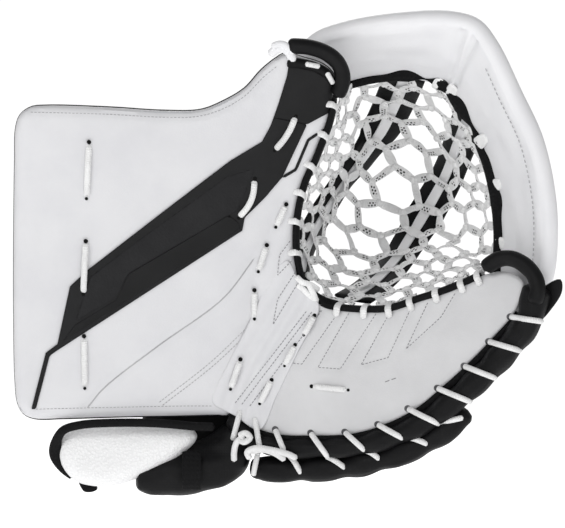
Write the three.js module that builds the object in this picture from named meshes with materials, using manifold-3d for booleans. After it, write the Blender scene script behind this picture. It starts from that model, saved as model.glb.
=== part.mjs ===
// Goalie catch glove for the left hand, lying open with its catching side toward -Y.
// Millimetres. +X runs from the cuff to the fingers, +Y away from the catching side, +Z up to the pocket's top.
// Every outline is drawn in the X-Z plane; a surface function then says how far back (+Y) its front face lies.
import * as THREE from "three";
import { mergeVertices } from "three/addons/utils/BufferGeometryUtils.js";
import Module from "manifold-3d";

const wasm = await Module();
wasm.setup();

// ---- Driving dimensions ----
const gloveWidth = 369; // outermost point of the cuff to outermost point of the rim
const gloveHeight = 333; // lower edge of the wrist wrap to the top of the rim
const drawnWidth = 369; // the outlines' points below are drawn for this width
const drawnHeight = 333; // and this height

const foldHeelY = 30; // the front surface at the fold's lower end
const foldTopY = -25; // and at its upper end
const boardSlope = 0.22; // how fast the cuff board comes forward away from the fold
const palmSlope = 0.25; // the same for the palm, which also curls
const palmCurl = 0.0008;

const skin = 2; // leather covers
const boardDepth = 18; // cuff board without its back cover
const stiffener = 2;
const palmDepth = 12; // palm without its liner
const liner = 2;
const breakGap = 4; // from the fold to each board's edge
const clearance = 0.3; // between pieces that touch

const handDepth = 32; // room for the hand between palm liner and back pad
const backPadDepth = 11;
const stallWall = 4;

const laceRadius = 2;
const edgeLaceRadius = 1.5; // laces along the pocket edges
const laceHole = 0.6; // play around a lace in its hole
const bindingThick = 2;
const bindingWidth = 12;

const rimThick = 14;
const cornerHalf = 15; // half the length of the rim's middle piece, across the fold
const netThick = 2.5;
const pocketDeepY = 118; // the bottom of the pocket
const bowlPower = 2.4; // how flat the bottom of the pocket is
const spineWidth = 24;
const spineStripe = 8;
const spineThick = 3;

const tipRollRadius = 4.6;

// The wrist opening's centre, where the hand and arm hold the glove: the part's origin.
const handCentre = new THREE.Vector3(-95, 62, -66);

// ---- Finishes ----
const finish = (color, roughness) => new THREE.MeshStandardMaterial({ color, roughness, metalness: 0 });
const whiteLeather = finish("#ecedee", 0.45);
const greyLeather = finish("#d3d5d7", 0.5);
const charcoal = finish("#2d2d2f", 0.5);
const blackLeather = finish("#232324", 0.55);
const blackWeb = finish("#141416", 0.8);
const laceWhite = finish("#e2e3e4", 0.7);
const foam = finish("#b9bcc0", 0.9);
const plastic = finish("#3a3c40", 0.4);
const meshWhite = finish("#dcdddd", 0.85);
const linerBlack = finish("#1b1b1d", 0.9);

// ---- Placing points ----
const at = (x, z) => new THREE.Vector2((x * gloveWidth) / drawnWidth, (z * gloveHeight) / drawnHeight);
const points = (list) => list.map(([x, z]) => at(x, z));
const vec = (x, y, z) => new THREE.Vector3(x, y, z);

const heel = at(-34, -105);
const foldTop = at(118, 168);
const foldLength = heel.distanceTo(foldTop);
const foldDir = foldTop.clone().sub(heel).normalize();
const awayDir = new THREE.Vector2(foldDir.y, -foldDir.x);

const along = (x, z) => (x - heel.x) * foldDir.x + (z - heel.y) * foldDir.y;
const beyond = (x, z) => (x - heel.x) * awayDir.x + (z - heel.y) * awayDir.y;
const fromFold = (t, s) => heel.clone().addScaledVector(foldDir, t).addScaledVector(awayDir, s);
const foldSlope = (foldTopY - foldHeelY) / foldLength;
const foldY = (t) => foldHeelY + foldSlope * t;

const boardFront = (x, z) => foldY(along(x, z)) + boardSlope * beyond(x, z);
const palmProfile = (s) => -palmSlope * s - palmCurl * s * s;
const palmFront = (x, z) => foldY(along(x, z)) + palmProfile(beyond(x, z));

// ---- Solids ----
function solid(geometry) {
  const bare = geometry.clone();
  bare.deleteAttribute("normal");
  bare.deleteAttribute("uv");
  const merged = mergeVertices(bare, 1e-4);
  const vertProperties = new Float32Array(merged.attributes.position.array);
  const triVerts = new Uint32Array(merged.index.array);
  const made = new wasm.Manifold(new wasm.Mesh({ numProp: 3, vertProperties, triVerts }));
  if (made.volume() > 0) return made;
  for (let i = 0; i < triVerts.length; i += 3) {
    [triVerts[i + 1], triVerts[i + 2]] = [triVerts[i + 2], triVerts[i + 1]];
  }
  return new wasm.Manifold(new wasm.Mesh({ numProp: 3, vertProperties, triVerts }));
}

function geometryOf(made) {
  const { vertProperties, triVerts } = made.getMesh();
  const geometry = new THREE.BufferGeometry();
  geometry.setAttribute("position", new THREE.BufferAttribute(new Float32Array(vertProperties), 3));
  geometry.setIndex(new THREE.BufferAttribute(new Uint32Array(triVerts), 1));
  geometry.computeVertexNormals();
  return geometry;
}

const glove = new THREE.Group();
glove.name = "goalie_catch_glove";

function add(name, made, material) {
  const mesh = new THREE.Mesh(geometryOf(made), material);
  mesh.name = name;
  glove.add(mesh);
}

// A closed outline moved sideways: a positive distance goes to the left of travel.
function offsetLine(line, distance, closed = false) {
  const last = line.length - 1;
  return line.map((p, i) => {
    const before = closed ? line[(i + last) % line.length] : line[Math.max(i - 1, 0)];
    const after = closed ? line[(i + 1) % line.length] : line[Math.min(i + 1, last)];
    const arriving = p.clone().sub(before).normalize();
    const leaving = after.clone().sub(p).normalize();
    const a = arriving.lengthSq() ? arriving : leaving;
    const b = leaving.lengthSq() ? leaving : arriving;
    const left = new THREE.Vector2(-a.y - b.y, a.x + b.x).normalize();
    const spread = Math.max(0.5, left.dot(new THREE.Vector2(-a.y, a.x)));
    return p.clone().addScaledVector(left, distance / spread);
  });
}

// A corner of an outline rounded with an arc-like curve of a few points.
function rounded(before, corner, after, radius, steps = 3) {
  const from = corner.clone().add(before.clone().sub(corner).setLength(radius));
  const to = corner.clone().add(after.clone().sub(corner).setLength(radius));
  return new THREE.QuadraticBezierCurve(from, corner, to).getPoints(steps);
}

// A prism through an outline, along Y.
function prism(outline, frontY, backY) {
  const geometry = new THREE.ExtrudeGeometry(new THREE.Shape(outline), {
    depth: backY - frontY,
    bevelEnabled: false,
  });
  geometry.rotateX(Math.PI / 2);
  geometry.translate(0, backY, 0);
  return geometry;
}

// A flat board: the prism leans with the surface, whose slope is the same everywhere.
function board(outline, front, back, surface = boardFront) {
  const geometry = prism(outline, front, back);
  const place = geometry.attributes.position;
  for (let i = 0; i < place.count; i++) {
    place.setY(i, place.getY(i) + surface(place.getX(i), place.getZ(i)));
  }
  return solid(geometry);
}

// A layer that follows the palm's curl: a curved slab along the fold, cut to the outline.
function palmLayer(outline, front, back) {
  const reachS = Math.max(...outline.map((p) => beyond(p.x, p.y))) + 5;
  const nearS = Math.min(...outline.map((p) => beyond(p.x, p.y))) - 5;
  const steps = 8;
  const stations = Array.from({ length: steps + 1 }, (_, i) => nearS + ((reachS - nearS) * i) / steps);
  const profile = [
    ...stations.map((s) => new THREE.Vector2(s, palmProfile(s) + front)),
    ...stations.reverse().map((s) => new THREE.Vector2(s, palmProfile(s) + back)),
  ];
  const reach = 2 * foldLength;
  const slab = new THREE.ExtrudeGeometry(new THREE.Shape(profile), { depth: 2 * reach, bevelEnabled: false });
  const place = slab.attributes.position;
  for (let i = 0; i < place.count; i++) {
    const t = place.getZ(i) - reach;
    const p = fromFold(t, place.getX(i));
    place.setXYZ(i, p.x, place.getY(i) + foldY(t), p.y);
  }
  return solid(slab).intersect(solid(prism(outline, -400, 400)));
}

// Rings of points joined into a closed body, with flat ends or joined round.
function loft(rings, closed = false) {
  const sides = rings[0].length;
  const vertices = rings.flat().flatMap((p) => [p.x, p.y, p.z]);
  const index = [];
  const spans = closed ? rings.length : rings.length - 1;
  for (let i = 0; i < spans; i++) {
    const j = (i + 1) % rings.length;
    for (let k = 0; k < sides; k++) {
      const l = (k + 1) % sides;
      index.push(i * sides + k, j * sides + k, j * sides + l);
      index.push(i * sides + k, j * sides + l, i * sides + l);
    }
  }
  if (!closed) {
    for (const [ring, turn] of [[0, 1], [rings.length - 1, -1]]) {
      const middle = rings[ring].reduce((sum, p) => sum.add(p), vec(0, 0, 0)).divideScalar(sides);
      const hub = vertices.length / 3;
      vertices.push(middle.x, middle.y, middle.z);
      for (let k = 0; k < sides; k++) {
        const l = (k + 1) % sides;
        const [first, second] = turn > 0 ? [k, l] : [l, k];
        index.push(hub, ring * sides + first, ring * sides + second);
      }
    }
  }
  const geometry = new THREE.BufferGeometry();
  geometry.setAttribute("position", new THREE.Float32BufferAttribute(vertices, 3));
  geometry.setIndex(index);
  return solid(geometry);
}

// A section carried along a line. up is one direction for the whole line, or one for each point.
function sweep(line, section, up, closed = false) {
  const last = line.length - 1;
  const rings = line.map((p, i) => {
    const before = closed ? line[(i + last) % line.length] : line[Math.max(i - 1, 0)];
    const after = closed ? line[(i + 1) % line.length] : line[Math.min(i + 1, last)];
    const forward = after.clone().sub(before).normalize();
    const upHere = Array.isArray(up) ? up[i] : up;
    const side = forward.clone().cross(upHere).normalize();
    const top = side.clone().cross(forward);
    const shape = typeof section === "function" ? section(i / last) : section;
    return shape.map(([a, b]) => p.clone().addScaledVector(side, a).addScaledVector(top, b));
  });
  return loft(rings, closed);
}

const round = (radius, sides = 8) =>
  Array.from({ length: sides }, (_, i) => {
    const turn = (2 * Math.PI * i) / sides;
    return [radius * Math.cos(turn), radius * Math.sin(turn)];
  });
const flat = (width, thick) => [
  [-width / 2, -thick / 2],
  [width / 2, -thick / 2],
  [width / 2, thick / 2],
  [-width / 2, thick / 2],
];
const softBox = (width, thick, corner) => [
  [corner, 0],
  [width - corner, 0],
  [width, corner],
  [width, thick - corner],
  [width - corner, thick],
  [corner, thick],
  [0, thick - corner],
  [0, corner],
];

const backward = vec(0, 1, 0);
const smooth = (line, steps) => new THREE.CatmullRomCurve3(line).getSpacedPoints(steps);
const onSurface = (line, surface, deeper) => line.map((p) => vec(p.x, surface(p.x, p.y) + deeper, p.y));

// ---- Outlines ----
const cuffCornerTop = rounded(at(-178, 60), at(-178, 105.5), at(-140, 105.5), 14);
const cuffCornerLow = rounded(at(-150, -105), at(-181.5, -105), at(-181.5, -60), 12);
const cuffTopEdge = points([[-116, 104.6], [-55, 103.3], [-25, 117.5], [-14, 131]]);
const thumbTip = points([[1.7, 141], [15, 137], [26, 134.5], [33, 129], [35.5, 122]]);
const thumbEdge = points([
  [33.5, 112], [31.5, 98], [26.7, 84.4], [21, 70], [14.5, 56], [10.5, 41], [8.3, 24], [8.6, 8], [11, -6],
]);
const boardBreak = [fromFold(98, -breakGap), fromFold(0, -breakGap)];
const cuffLowEdge = points([[-44, -103], [-70, -103.5]]);
const boardOutline = [
  ...cuffCornerTop,
  ...cuffTopEdge,
  ...thumbTip,
  ...thumbEdge,
  ...boardBreak,
  ...cuffLowEdge,
  ...cuffCornerLow,
];

const palmPocketEdge = points([
  [31, -29], [45, -31], [59, -31.5], [73, -30.5], [92, -24], [106, -19.5], [122, -13], [133, -8],
]);
const fingerTip = points([[148, -5], [160, -12]]);
const palmEdge = points([
  [155, -31], [142, -47], [126, -64.5], [109, -81], [90, -97], [68, -108.5], [46, -115], [20, -116.5],
  [-4, -116], [-24, -110],
]);
const palmBreak = [fromFold(0, breakGap), fromFold(97, breakGap)];
const palmOutline = [...palmBreak, ...palmPocketEdge, ...fingerTip, ...palmEdge];

// ---- Laces that pass through a board and are tied behind it ----
// The closed loop runs over the front between two holes and back behind the board.
function laceLoop(from, to, surface, depth) {
  const step = to.clone().sub(from);
  const length = step.length();
  step.normalize();
  const bend = laceRadius + clearance;
  const quarter = [0, 0.25, 0.5].map((share) => share * Math.PI);
  const corners = [
    ...quarter.map((a) => [bend - bend * Math.cos(a), -bend * Math.sin(a)]),
    ...quarter.map((a) => [length - bend + bend * Math.sin(a), -bend * Math.cos(a)]),
    ...quarter.map((a) => [length - bend + bend * Math.cos(a), depth + bend * Math.sin(a)]),
    ...quarter.map((a) => [bend - bend * Math.sin(a), depth + bend * Math.cos(a)]),
  ];
  const startY = surface(from.x, from.y);
  const endY = surface(to.x, to.y);
  const line = corners.map(([p, q]) => {
    const place = from.clone().addScaledVector(step, p);
    return vec(place.x, startY + ((endY - startY) * p) / length + q, place.y);
  });
  return sweep(line, round(laceRadius, 6), vec(-step.y, 0, step.x), true);
}

const laceHoles = (pairs) =>
  pairs.flat().map((p) => {
    const ring = round(laceRadius + laceHole, 6).map(([a, b]) => new THREE.Vector2(p.x + a, p.y + b));
    return solid(prism(ring, -200, 200));
  });

const pierced = (made, holes) => holes.reduce((left, hole) => left.subtract(hole), made);

// ---- Cuff board ----
const boardBack = boardDepth + clearance + skin;
const boardLaces = {
  cuff_lace_upper: points([[-129, 80], [-131, 45]]),
  cuff_lace_middle: points([[-132, 14], [-134, -19]]),
  cuff_lace_lower: points([[-134, -50], [-134, -83]]),
  thumb_lace_lower: points([[-19, 56], [-29, 32]]),
  thumb_lace_upper: points([[8.4, 98], [-4.6, 77]]),
  break_lace_cuff_1: points([[2, 39], [-4, 26]]),
  break_lace_cuff_2: points([[-11, 11.5], [-16, -4]]),
  break_lace_cuff_3: points([[-19, -19], [-19, -36]]),
  break_lace_cuff_4: points([[-29, -66], [-35, -84]]),
};
const boardHoles = laceHoles(Object.values(boardLaces));

const inward = (distance) => offsetLine(boardOutline, -distance, true);
const boardInner = inward(skin);
const tray = board(boardOutline, 0, boardDepth).subtract(board(boardInner, skin, boardDepth + 10));
add("cuff_front_cover", pierced(tray, boardHoles), whiteLeather);

const boardFill = inward(skin + clearance);
const plateFront = boardDepth - stiffener - clearance;
const core = board(boardFill, skin + clearance, plateFront - clearance);
add("cuff_foam_core", pierced(core, boardHoles), foam);
add("cuff_stiffener_plate", pierced(board(boardFill, plateFront, boardDepth - clearance), boardHoles), plastic);
const backCover = board(boardOutline, boardDepth + clearance, boardBack);
add("cuff_back_cover", pierced(backCover, boardHoles), blackLeather);

for (const [name, [from, to]] of Object.entries(boardLaces)) {
  add(name, laceLoop(from, to, boardFront, boardBack), laceWhite);
}

// ---- Dark panels sewn on the cuff board ----
const panelFront = -1.5;
const stripeOutline = points([
  [-4, 100], [-13, 82], [-79, 36], [-131, -4], [-143, -15], [-152, -54], [-160, -60], [-170.4, -98],
  [-167.5, -98], [-153, -59], [-27, 22.5], [-25, 33], [-11.4, 45], [0, 58.4], [8.4, 64.4], [13, 74],
]);
const thumbPanelOutline = points([[3, 131], [-2.5, 104], [14.5, 78], [17.6, 83.7], [30, 94], [32, 112], [31, 117]]);
const tipCapOutline = points([[3.5, 134.5], [3.5, 132.5], [31, 118.5], [33, 120], [31.5, 127.5], [25, 132.5], [14.5, 135.5]]);
const onFront = (outline) => pierced(board(outline, panelFront, -clearance), boardHoles);
const laceReach = laceRadius + clearance;
const laceBed = (pair) => {
  const [from, to] = pair;
  const side = to.clone().sub(from).normalize().rotateAround(new THREE.Vector2(), Math.PI / 2);
  const half = side.multiplyScalar(laceReach + laceHole);
  const corners = [from.clone().add(half), to.clone().add(half), to.clone().sub(half), from.clone().sub(half)];
  return solid(prism(corners, -200, 200));
};
const laceBeds = [boardLaces.cuff_lace_middle, boardLaces.thumb_lace_lower, boardLaces.thumb_lace_upper].map(laceBed);
add("cuff_stripe_panel", pierced(onFront(stripeOutline), laceBeds), charcoal);
add("thumb_panel", pierced(onFront(thumbPanelOutline), laceBeds), charcoal);
add("thumb_tip_cap", onFront(tipCapOutline), blackLeather);

// ---- Thumb tip ----
const thumbRollLine = onSurface(
  points([[5, 147], [16, 143.6], [28.5, 141], [37.5, 135], [41.5, 127], [41.5, 119.5]]),
  boardFront,
  4,
);
add("thumb_tip_roll", sweep(smooth(thumbRollLine, 12), round(tipRollRadius), backward), blackLeather);
const tieLine = onSurface(points([[-3, 147.5], [-1, 149], [2, 148.5]]), boardFront, 2);
add("thumb_tip_tie", sweep(tieLine, flat(4, 9), backward), whiteLeather);

// ---- Pocket-side edges: binding and the lace that ties the net on ----
function edgePieces(prefix, line, surface, depth) {
  const bind = offsetLine(line, 3 * clearance + bindingThick / 2);
  const lace = offsetLine(line, 4 * clearance + bindingThick + edgeLaceRadius);
  const middle = depth / 2;
  add(`${prefix}_binding`, sweep(onSurface(bind, surface, middle), flat(bindingThick, bindingWidth), backward), blackWeb);
  add(`${prefix}_lace`, sweep(onSurface(lace, surface, middle), round(edgeLaceRadius, 6), backward), laceWhite);
}
edgePieces("thumb_pocket", thumbEdge, boardFront, boardDepth);
edgePieces("palm_pocket", palmPocketEdge, palmFront, palmDepth);

// ---- Palm ----
const palmBack = palmDepth + clearance + liner;
const palmLaces = {
  palm_center_lace: points([[21, -82.5], [43, -86]]),
  break_lace_palm_1: points([[21, -36], [15, -47]]),
  break_lace_palm_2: points([[8, -56], [2, -68]]),
  break_lace_palm_3: points([[-8, -80], [-15, -94]]),
};
const palmHoles = laceHoles(Object.values(palmLaces));
const palmInner = offsetLine(palmOutline, -skin, true);
const palmTray = palmLayer(palmOutline, 0, palmDepth).subtract(palmLayer(palmInner, skin, palmDepth + 10));
add("palm_cover", pierced(palmTray, palmHoles), greyLeather);
const palmFill = offsetLine(palmOutline, -(skin + clearance), true);
add("palm_foam", pierced(palmLayer(palmFill, skin + clearance, palmDepth - clearance), palmHoles), foam);
add("palm_liner", pierced(palmLayer(palmOutline, palmDepth + clearance, palmBack), palmHoles), linerBlack);
for (const [name, [from, to]] of Object.entries(palmLaces)) {
  add(name, laceLoop(from, to, palmFront, palmBack), laceWhite);
}

// ---- Hand compartment behind the palm ----
const stallOutline = points([
  [-15, -99], [15, -105], [48, -102], [78, -91], [100, -76], [119, -58], [131, -40],
  [124, -27], [106, -29], [90, -34], [72, -41], [45, -42], [24, -42],
]).reverse();
const stallBack = palmBack + laceRadius * 2 + 1 + handDepth;
const stallFront = palmBack + clearance;
const stallInner = offsetLine(stallOutline, -stallWall, true);
const stallMouth = points([[-60, -70], [30, -50], [20, -80], [-14, -96], [-60, -110]]);
const stallShell = palmLayer(stallOutline, stallFront, stallBack);
const stallRoom = solid(prism(stallInner, -300, 300)).add(solid(prism(stallMouth, -300, 300)));
add("finger_stall_wall", stallShell.subtract(stallRoom), linerBlack);

const backPadOutline = points([
  [-19, -48], [-19, -99], [-10, -103], [15, -107], [48, -104], [79, -93], [101, -78], [121, -59], [133, -40],
  [125, -26], [106, -27], [90, -32], [72, -39], [45, -40], [10, -34],
]).reverse();
const padFront = stallBack + clearance;
const padBack = padFront + backPadDepth;
add("back_hand_pad", palmLayer(offsetLine(backPadOutline, -3, true), padFront, padBack), linerBlack);
const handCoverFront = padBack + clearance;
add("back_hand_cover", palmLayer(backPadOutline, handCoverFront, handCoverFront + skin), blackLeather);

// ---- Padded rolls round the palm's edge ----
const rollLine = (list, deeper, steps) => smooth(onSurface(points(list), palmFront, deeper), steps);
const taperedRoll = (wide, narrow, tallness) => (share) => {
  const width = wide + (narrow - wide) * Math.min(1, 1.4 * share);
  return round(1, 10).map(([a, b]) => [a * width, b * width * tallness]);
};
const palmRollWide = 8.6;
const palmRollNarrow = 5.8;
const rollTallness = 1.25;
const palmRollPoints = [
  [167, -24], [163.5, -37], [151, -54.5], [135, -72.5], [116, -90.5], [95.5, -106], [72, -116.8],
  [47.5, -123.4], [20.5, -125], [-4, -124.5], [-22, -118.5],
];
const palmRollDeeper = 5;
const palmRoll = rollLine(palmRollPoints, palmRollDeeper, 30);
const palmRollSection = taperedRoll(palmRollWide, palmRollNarrow, rollTallness);
add("palm_edge_roll", sweep(palmRoll, palmRollSection, backward), charcoal);
const lowerRoll = rollLine(
  [[118, -104], [101, -117], [77, -128.5], [50, -136], [24, -139.5], [-2, -139.5], [-16, -139]],
  18,
  20,
);
const lowerRollRadius = 6.6;
add("lower_edge_roll", sweep(lowerRoll, round(lowerRollRadius, 10), backward), charcoal);
const laceInFront = palmRollDeeper - palmRollWide * rollTallness - laceRadius - 1.2;
const frontLace = rollLine(palmRollPoints.slice(1), laceInFront, 28);
add("perimeter_lace", sweep(frontLace, round(laceRadius, 6), backward), laceWhite);
const tipRoll = rollLine([[136, -1], [144.5, 3.4], [152, 4], [160, 0], [167, -6], [170, -12]], -7, 12);
add("finger_tip_roll", sweep(tipRoll, round(tipRollRadius, 8), backward), blackLeather);

// ---- Rim: one padded band from the thumb over the top to the finger tip ----
// Each station gives a point of the band's front edge and one of its inner, rear edge.
const rimStations = [
  [[-4, 20, 130], [16, 52, 106]],
  [[18, 8, 157], [34, 46, 126]],
  [[42, -4, 166], [54, 40, 135]],
  [[79, -13, 171.5], [80, 36, 138]],
  [[114, -19, 172], [106, 34, 132]],
  [[133, -21, 166], [121, 32, 125]],
  [[146, -23, 150], [129, 30, 112]],
  [[162, -25, 117], [140, 28, 95]],
  [[176, -28, 86], [149, 26, 73]],
  [[184, -31, 50], [155, 22, 46]],
  [[186, -31, 20], [157, 18, 18]],
  [[183, -26, -12], [154, 16, -6]],
  [[171, -9, -36], [146, 24, -22]],
];
const placed = ([x, y, z]) => {
  const p = at(x, z);
  return vec(p.x, y, p.y);
};
const rimSteps = 30;
const rimFront = new THREE.CatmullRomCurve3(rimStations.map(([front]) => placed(front)));
const rimRear = new THREE.CatmullRomCurve3(rimStations.map(([, rear]) => placed(rear)));
const rimRings = Array.from({ length: rimSteps + 1 }, (_, i) => {
  const share = i / rimSteps;
  const front = rimFront.getPoint(share);
  const inwards = rimRear.getPoint(share).sub(front);
  const width = inwards.length();
  inwards.normalize();
  const outward = rimFront.getTangent(share).cross(inwards).negate().normalize();
  return softBox(width, rimThick, 3).map(([a, b]) =>
    front.clone().addScaledVector(inwards, a).addScaledVector(outward, b),
  );
});
const rim = loft(rimRings);
function acrossFold(fromS, toS) {
  const reach = 3 * foldLength;
  const corners = [[-reach, fromS], [reach, fromS], [reach, toS], [-reach, toS]];
  return solid(prism(corners.map(([t, s]) => fromFold(t, s)), -reach, reach));
}
const splitGap = 1.2; // room for the front edges as the rim folds
const farAway = 3 * gloveWidth;
add("rim_thumb_side", rim.intersect(acrossFold(-farAway, -cornerHalf - splitGap)), whiteLeather);
add("rim_corner", rim.intersect(acrossFold(-cornerHalf + splitGap, cornerHalf - splitGap)), whiteLeather);
add("rim_finger_side", rim.intersect(acrossFold(cornerHalf + splitGap, farAway)), whiteLeather);

// ---- Pocket: the net's bowl, bounded by the boards' edges and the rim's rear edge ----
const pocketCentre = at(80, 52);
const netEdgeGap = 5 * clearance + bindingThick + 2 * edgeLaceRadius + netThick + 1;
const netRimGap = netEdgeGap + 1.5 + 0.25 * rimThick;
const netOnBoard = onSurface(offsetLine(thumbEdge, netEdgeGap), boardFront, boardDepth / 2);
const netOnPalm = onSurface(offsetLine(palmPocketEdge, netEdgeGap), palmFront, palmDepth / 2);
const rimRearEdge = rimStations.slice(2, 12).reverse();
const netOnRim = rimRearEdge.map(([, rear]) => {
  const p = placed(rear);
  const inwards = vec(pocketCentre.x - p.x, 0, pocketCentre.y - p.z).normalize();
  return p.addScaledVector(inwards, netRimGap - 3).add(vec(0, 2, 0));
});
const netLoop = new THREE.CatmullRomCurve3([...netOnBoard, ...netOnPalm, ...netOnRim], true);
const netEdge = netLoop.getSpacedPoints(160).map((p) => {
  const dx = p.x - pocketCentre.x;
  const dz = p.z - pocketCentre.y;
  return { angle: Math.atan2(dz, dx), radius: Math.hypot(dx, dz), y: p.y };
});
netEdge.sort((a, b) => a.angle - b.angle);
function edgeAt(angle) {
  const turn = 2 * Math.PI;
  const wrapped = ((((angle + Math.PI) % turn) + turn) % turn) - Math.PI;
  const found = netEdge.findIndex((p) => p.angle > wrapped);
  const next = found < 0 ? 0 : found;
  const b = netEdge[next];
  const a = netEdge[(next + netEdge.length - 1) % netEdge.length];
  const span = (b.angle - a.angle + turn) % turn || 1;
  const share = ((wrapped - a.angle + turn) % turn) / span;
  return { radius: a.radius + (b.radius - a.radius) * share, y: a.y + (b.y - a.y) * share };
}
function bowlPoint(angle, share) {
  const edge = edgeAt(angle);
  const x = pocketCentre.x + Math.cos(angle) * edge.radius * share;
  const y = pocketDeepY + (edge.y - pocketDeepY) * share ** bowlPower;
  return vec(x, y, pocketCentre.y + Math.sin(angle) * edge.radius * share);
}
function bowlOutward(angle, share) {
  const step = 0.02;
  const turn = 0.16;
  const inOut = bowlPoint(angle, Math.min(1, share + step)).sub(bowlPoint(angle, share - step));
  const roundabout = bowlPoint(angle + turn, share).sub(bowlPoint(angle - turn, share));
  const normal = inOut.cross(roundabout).normalize();
  return normal.y < 0 ? normal.negate() : normal;
}
const bowlShares = [1, 0.95, 0.88, 0.79, 0.68, 0.54, 0.37, 0.19];
const bowlSides = 30;
const bowlRing = (share, offset) =>
  Array.from({ length: bowlSides }, (_, i) => {
    const angle = (2 * Math.PI * i) / bowlSides;
    return bowlPoint(angle, share).addScaledVector(bowlOutward(angle, share), offset);
  });
const bowlRings = [
  ...[...bowlShares].reverse().map((share) => bowlRing(share, 0)),
  ...bowlShares.map((share) => bowlRing(share, netThick)),
];
add("pocket_net", loft(bowlRings), laceWhite);

// ---- Spines: two straps behind the net, each with a pale stripe in front ----
function bowlPlace(p) {
  const dx = p.x - pocketCentre.x;
  const dz = p.z - pocketCentre.y;
  const angle = Math.atan2(dz, dx);
  const share = Math.min(1, Math.hypot(dx, dz) / edgeAt(angle).radius);
  return { inner: bowlPoint(angle, share), outward: bowlOutward(angle, share) };
}
function spine(name, list, steps) {
  const places = smooth(points(list).map((p) => vec(p.x, 0, p.y)), steps).map(bowlPlace);
  const ups = places.map(({ outward }, i) => {
    const before = places[Math.max(i - 1, 0)].outward;
    const after = places[Math.min(i + 1, steps)].outward;
    return outward.clone().multiplyScalar(2).add(before).add(after).normalize();
  });
  const lift = (offset) => places.map(({ inner }, i) => inner.clone().addScaledVector(ups[i], offset));
  const stripeAt = netThick + 1.6;
  const strapAt = stripeAt + liner + 1.9 + spineThick / 2;
  add(`${name}_stripe`, sweep(lift(stripeAt + liner / 2), flat(spineStripe, liner), ups), whiteLeather);
  add(`${name}_strap`, sweep(lift(strapAt), flat(spineWidth, spineThick), ups), blackWeb);
}
spine("upper_spine", [[80, 118], [73, 97], [63, 79], [50, 61], [37, 42], [26, 24], [24, 8]], 16);
spine("lower_spine", [[118, 84], [112, 62], [104, 46], [98, 35], [89, 22], [79, 5], [71, -4]], 14);

// ---- Break: the soft strip behind the gap between the two boards ----
const gussetCorners = [[4, -16], [4, 8], [80, 8], [84, -16]];
const gussetFront = boardBack + 3;
const foldFront = (x, z) => foldY(along(x, z));
const gussetOutline = gussetCorners.map(([t, s]) => fromFold(t, s));
add("break_gusset", board(gussetOutline, gussetFront, gussetFront + liner, foldFront), linerBlack);

// ---- Thumb stall: a padded sleeve behind the board, open at its lower end ----
const stallDepth = 34;
const sleeveFront = boardBack + laceRadius * 2 + 1;
const sleeveBack = sleeveFront + stallDepth;
const sleeveOutline = points([[-44, 34], [-38, 90], [-26, 108], [-12, 112], [2, 104], [6, 88], [2, 72], [-6, 34]]);
const sleeveInner = offsetLine(sleeveOutline, -stallWall, true);
const sleeveMouth = points([[-39, 0], [-39.5, 44], [-9, 44], [-12, 0]]);
const sleeveRooms = [sleeveInner, sleeveMouth].map((outline) =>
  board(outline, sleeveFront + stallWall, sleeveBack - stallWall),
);
const sleeve = board(sleeveOutline, sleeveFront, sleeveBack);
add("thumb_stall", sleeve.subtract(sleeveRooms[0]).subtract(sleeveRooms[1]), linerBlack);

// ---- Wrist: the pad under the arm, its binding and tag, and the wrap below the hand ----
const wristPadSection = (share) => {
  const tall = at(0, 16).y * Math.sin(Math.PI * (0.1 + 0.8 * share)) ** 0.5;
  return round(1, 10).map(([a, b]) => [a * tall, b * 24]);
};
const wristPadLine = [
  [-148, 48, -127], [-140, 48, -128], [-126, 48, -128.5], [-110, 48, -126], [-96, 48, -122.5],
  [-84, 48, -120.5], [-76, 48, -120],
].map(placed);
add("wrist_pad", sweep(wristPadLine, wristPadSection, backward), meshWhite);
const wristBindLine = [
  [-154, 24, -124], [-151, 18, -115], [-144, 15, -109], [-120, 15, -108.6], [-92, 17, -107.8], [-62, 19, -109.5],
].map(placed);
add("wrist_pad_binding", sweep(smooth(wristBindLine, 12), round(2.4, 8), backward), blackWeb);
const tagOutline = points([[-141, -146.5], [-131, -149.5], [-127, -155], [-137, -156]]);
add("size_tag", solid(prism(tagOutline, 46, 47.2)), linerBlack);

// A prism along X through an outline of [y, z] points.
function alongX(profile, fromX, toX) {
  const shape = new THREE.Shape(profile.map(([y, z]) => new THREE.Vector2(y, at(0, z).y)));
  const geometry = new THREE.ExtrudeGeometry(shape, { depth: at(toX - fromX, 0).x, bevelEnabled: false });
  geometry.applyMatrix4(new THREE.Matrix4().makeBasis(vec(0, 1, 0), vec(0, 0, 1), vec(1, 0, 0)));
  geometry.translate(at(fromX, 0).x, 0, 0);
  return solid(geometry);
}
const wrapProfile = [
  [26, -147], [30, -141], [40, -139], [62, -142], [84, -139], [92, -125], [93, -40], [97, -30], [104, -30],
  [109, -40], [109, -122], [103, -141], [88, -153], [58, -160], [34, -157],
];
add("wrist_wrap_pad", alongX(wrapProfile, -100, -24), blackLeather);
const loopProfile = [
  [24.5, -146], [22.5, -146], [22.5, -150], [26, -160.3], [33, -162.5], [33.5, -160.5], [27.5, -158.5],
];
add("wrist_wrap_loop", alongX(loopProfile, -69, -55), blackWeb);

// ---- Straps across the back of the wrist and of the hand ----
const strapThick = 2.5;
function strap(name, list, width, across) {
  const section = flat(strapThick, width);
  add(name, sweep(smooth(list.map(placed), 14), section, across), blackWeb);
}
strap(
  "wrist_strap",
  [[-80, 38, 30], [-80, 60, 38], [-80, 84, 34], [-80, 102, 16], [-80, 112, -10], [-80, 113, -45], [-80, 113, -80]],
  38,
  vec(1, 0, 0),
);
strap("hand_strap", [[5, 96, -95], [6, 101, -80], [8, 101, -60], [9, 101, -48], [9, 97, -38]], 30, vec(1, 0, 0));

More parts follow.
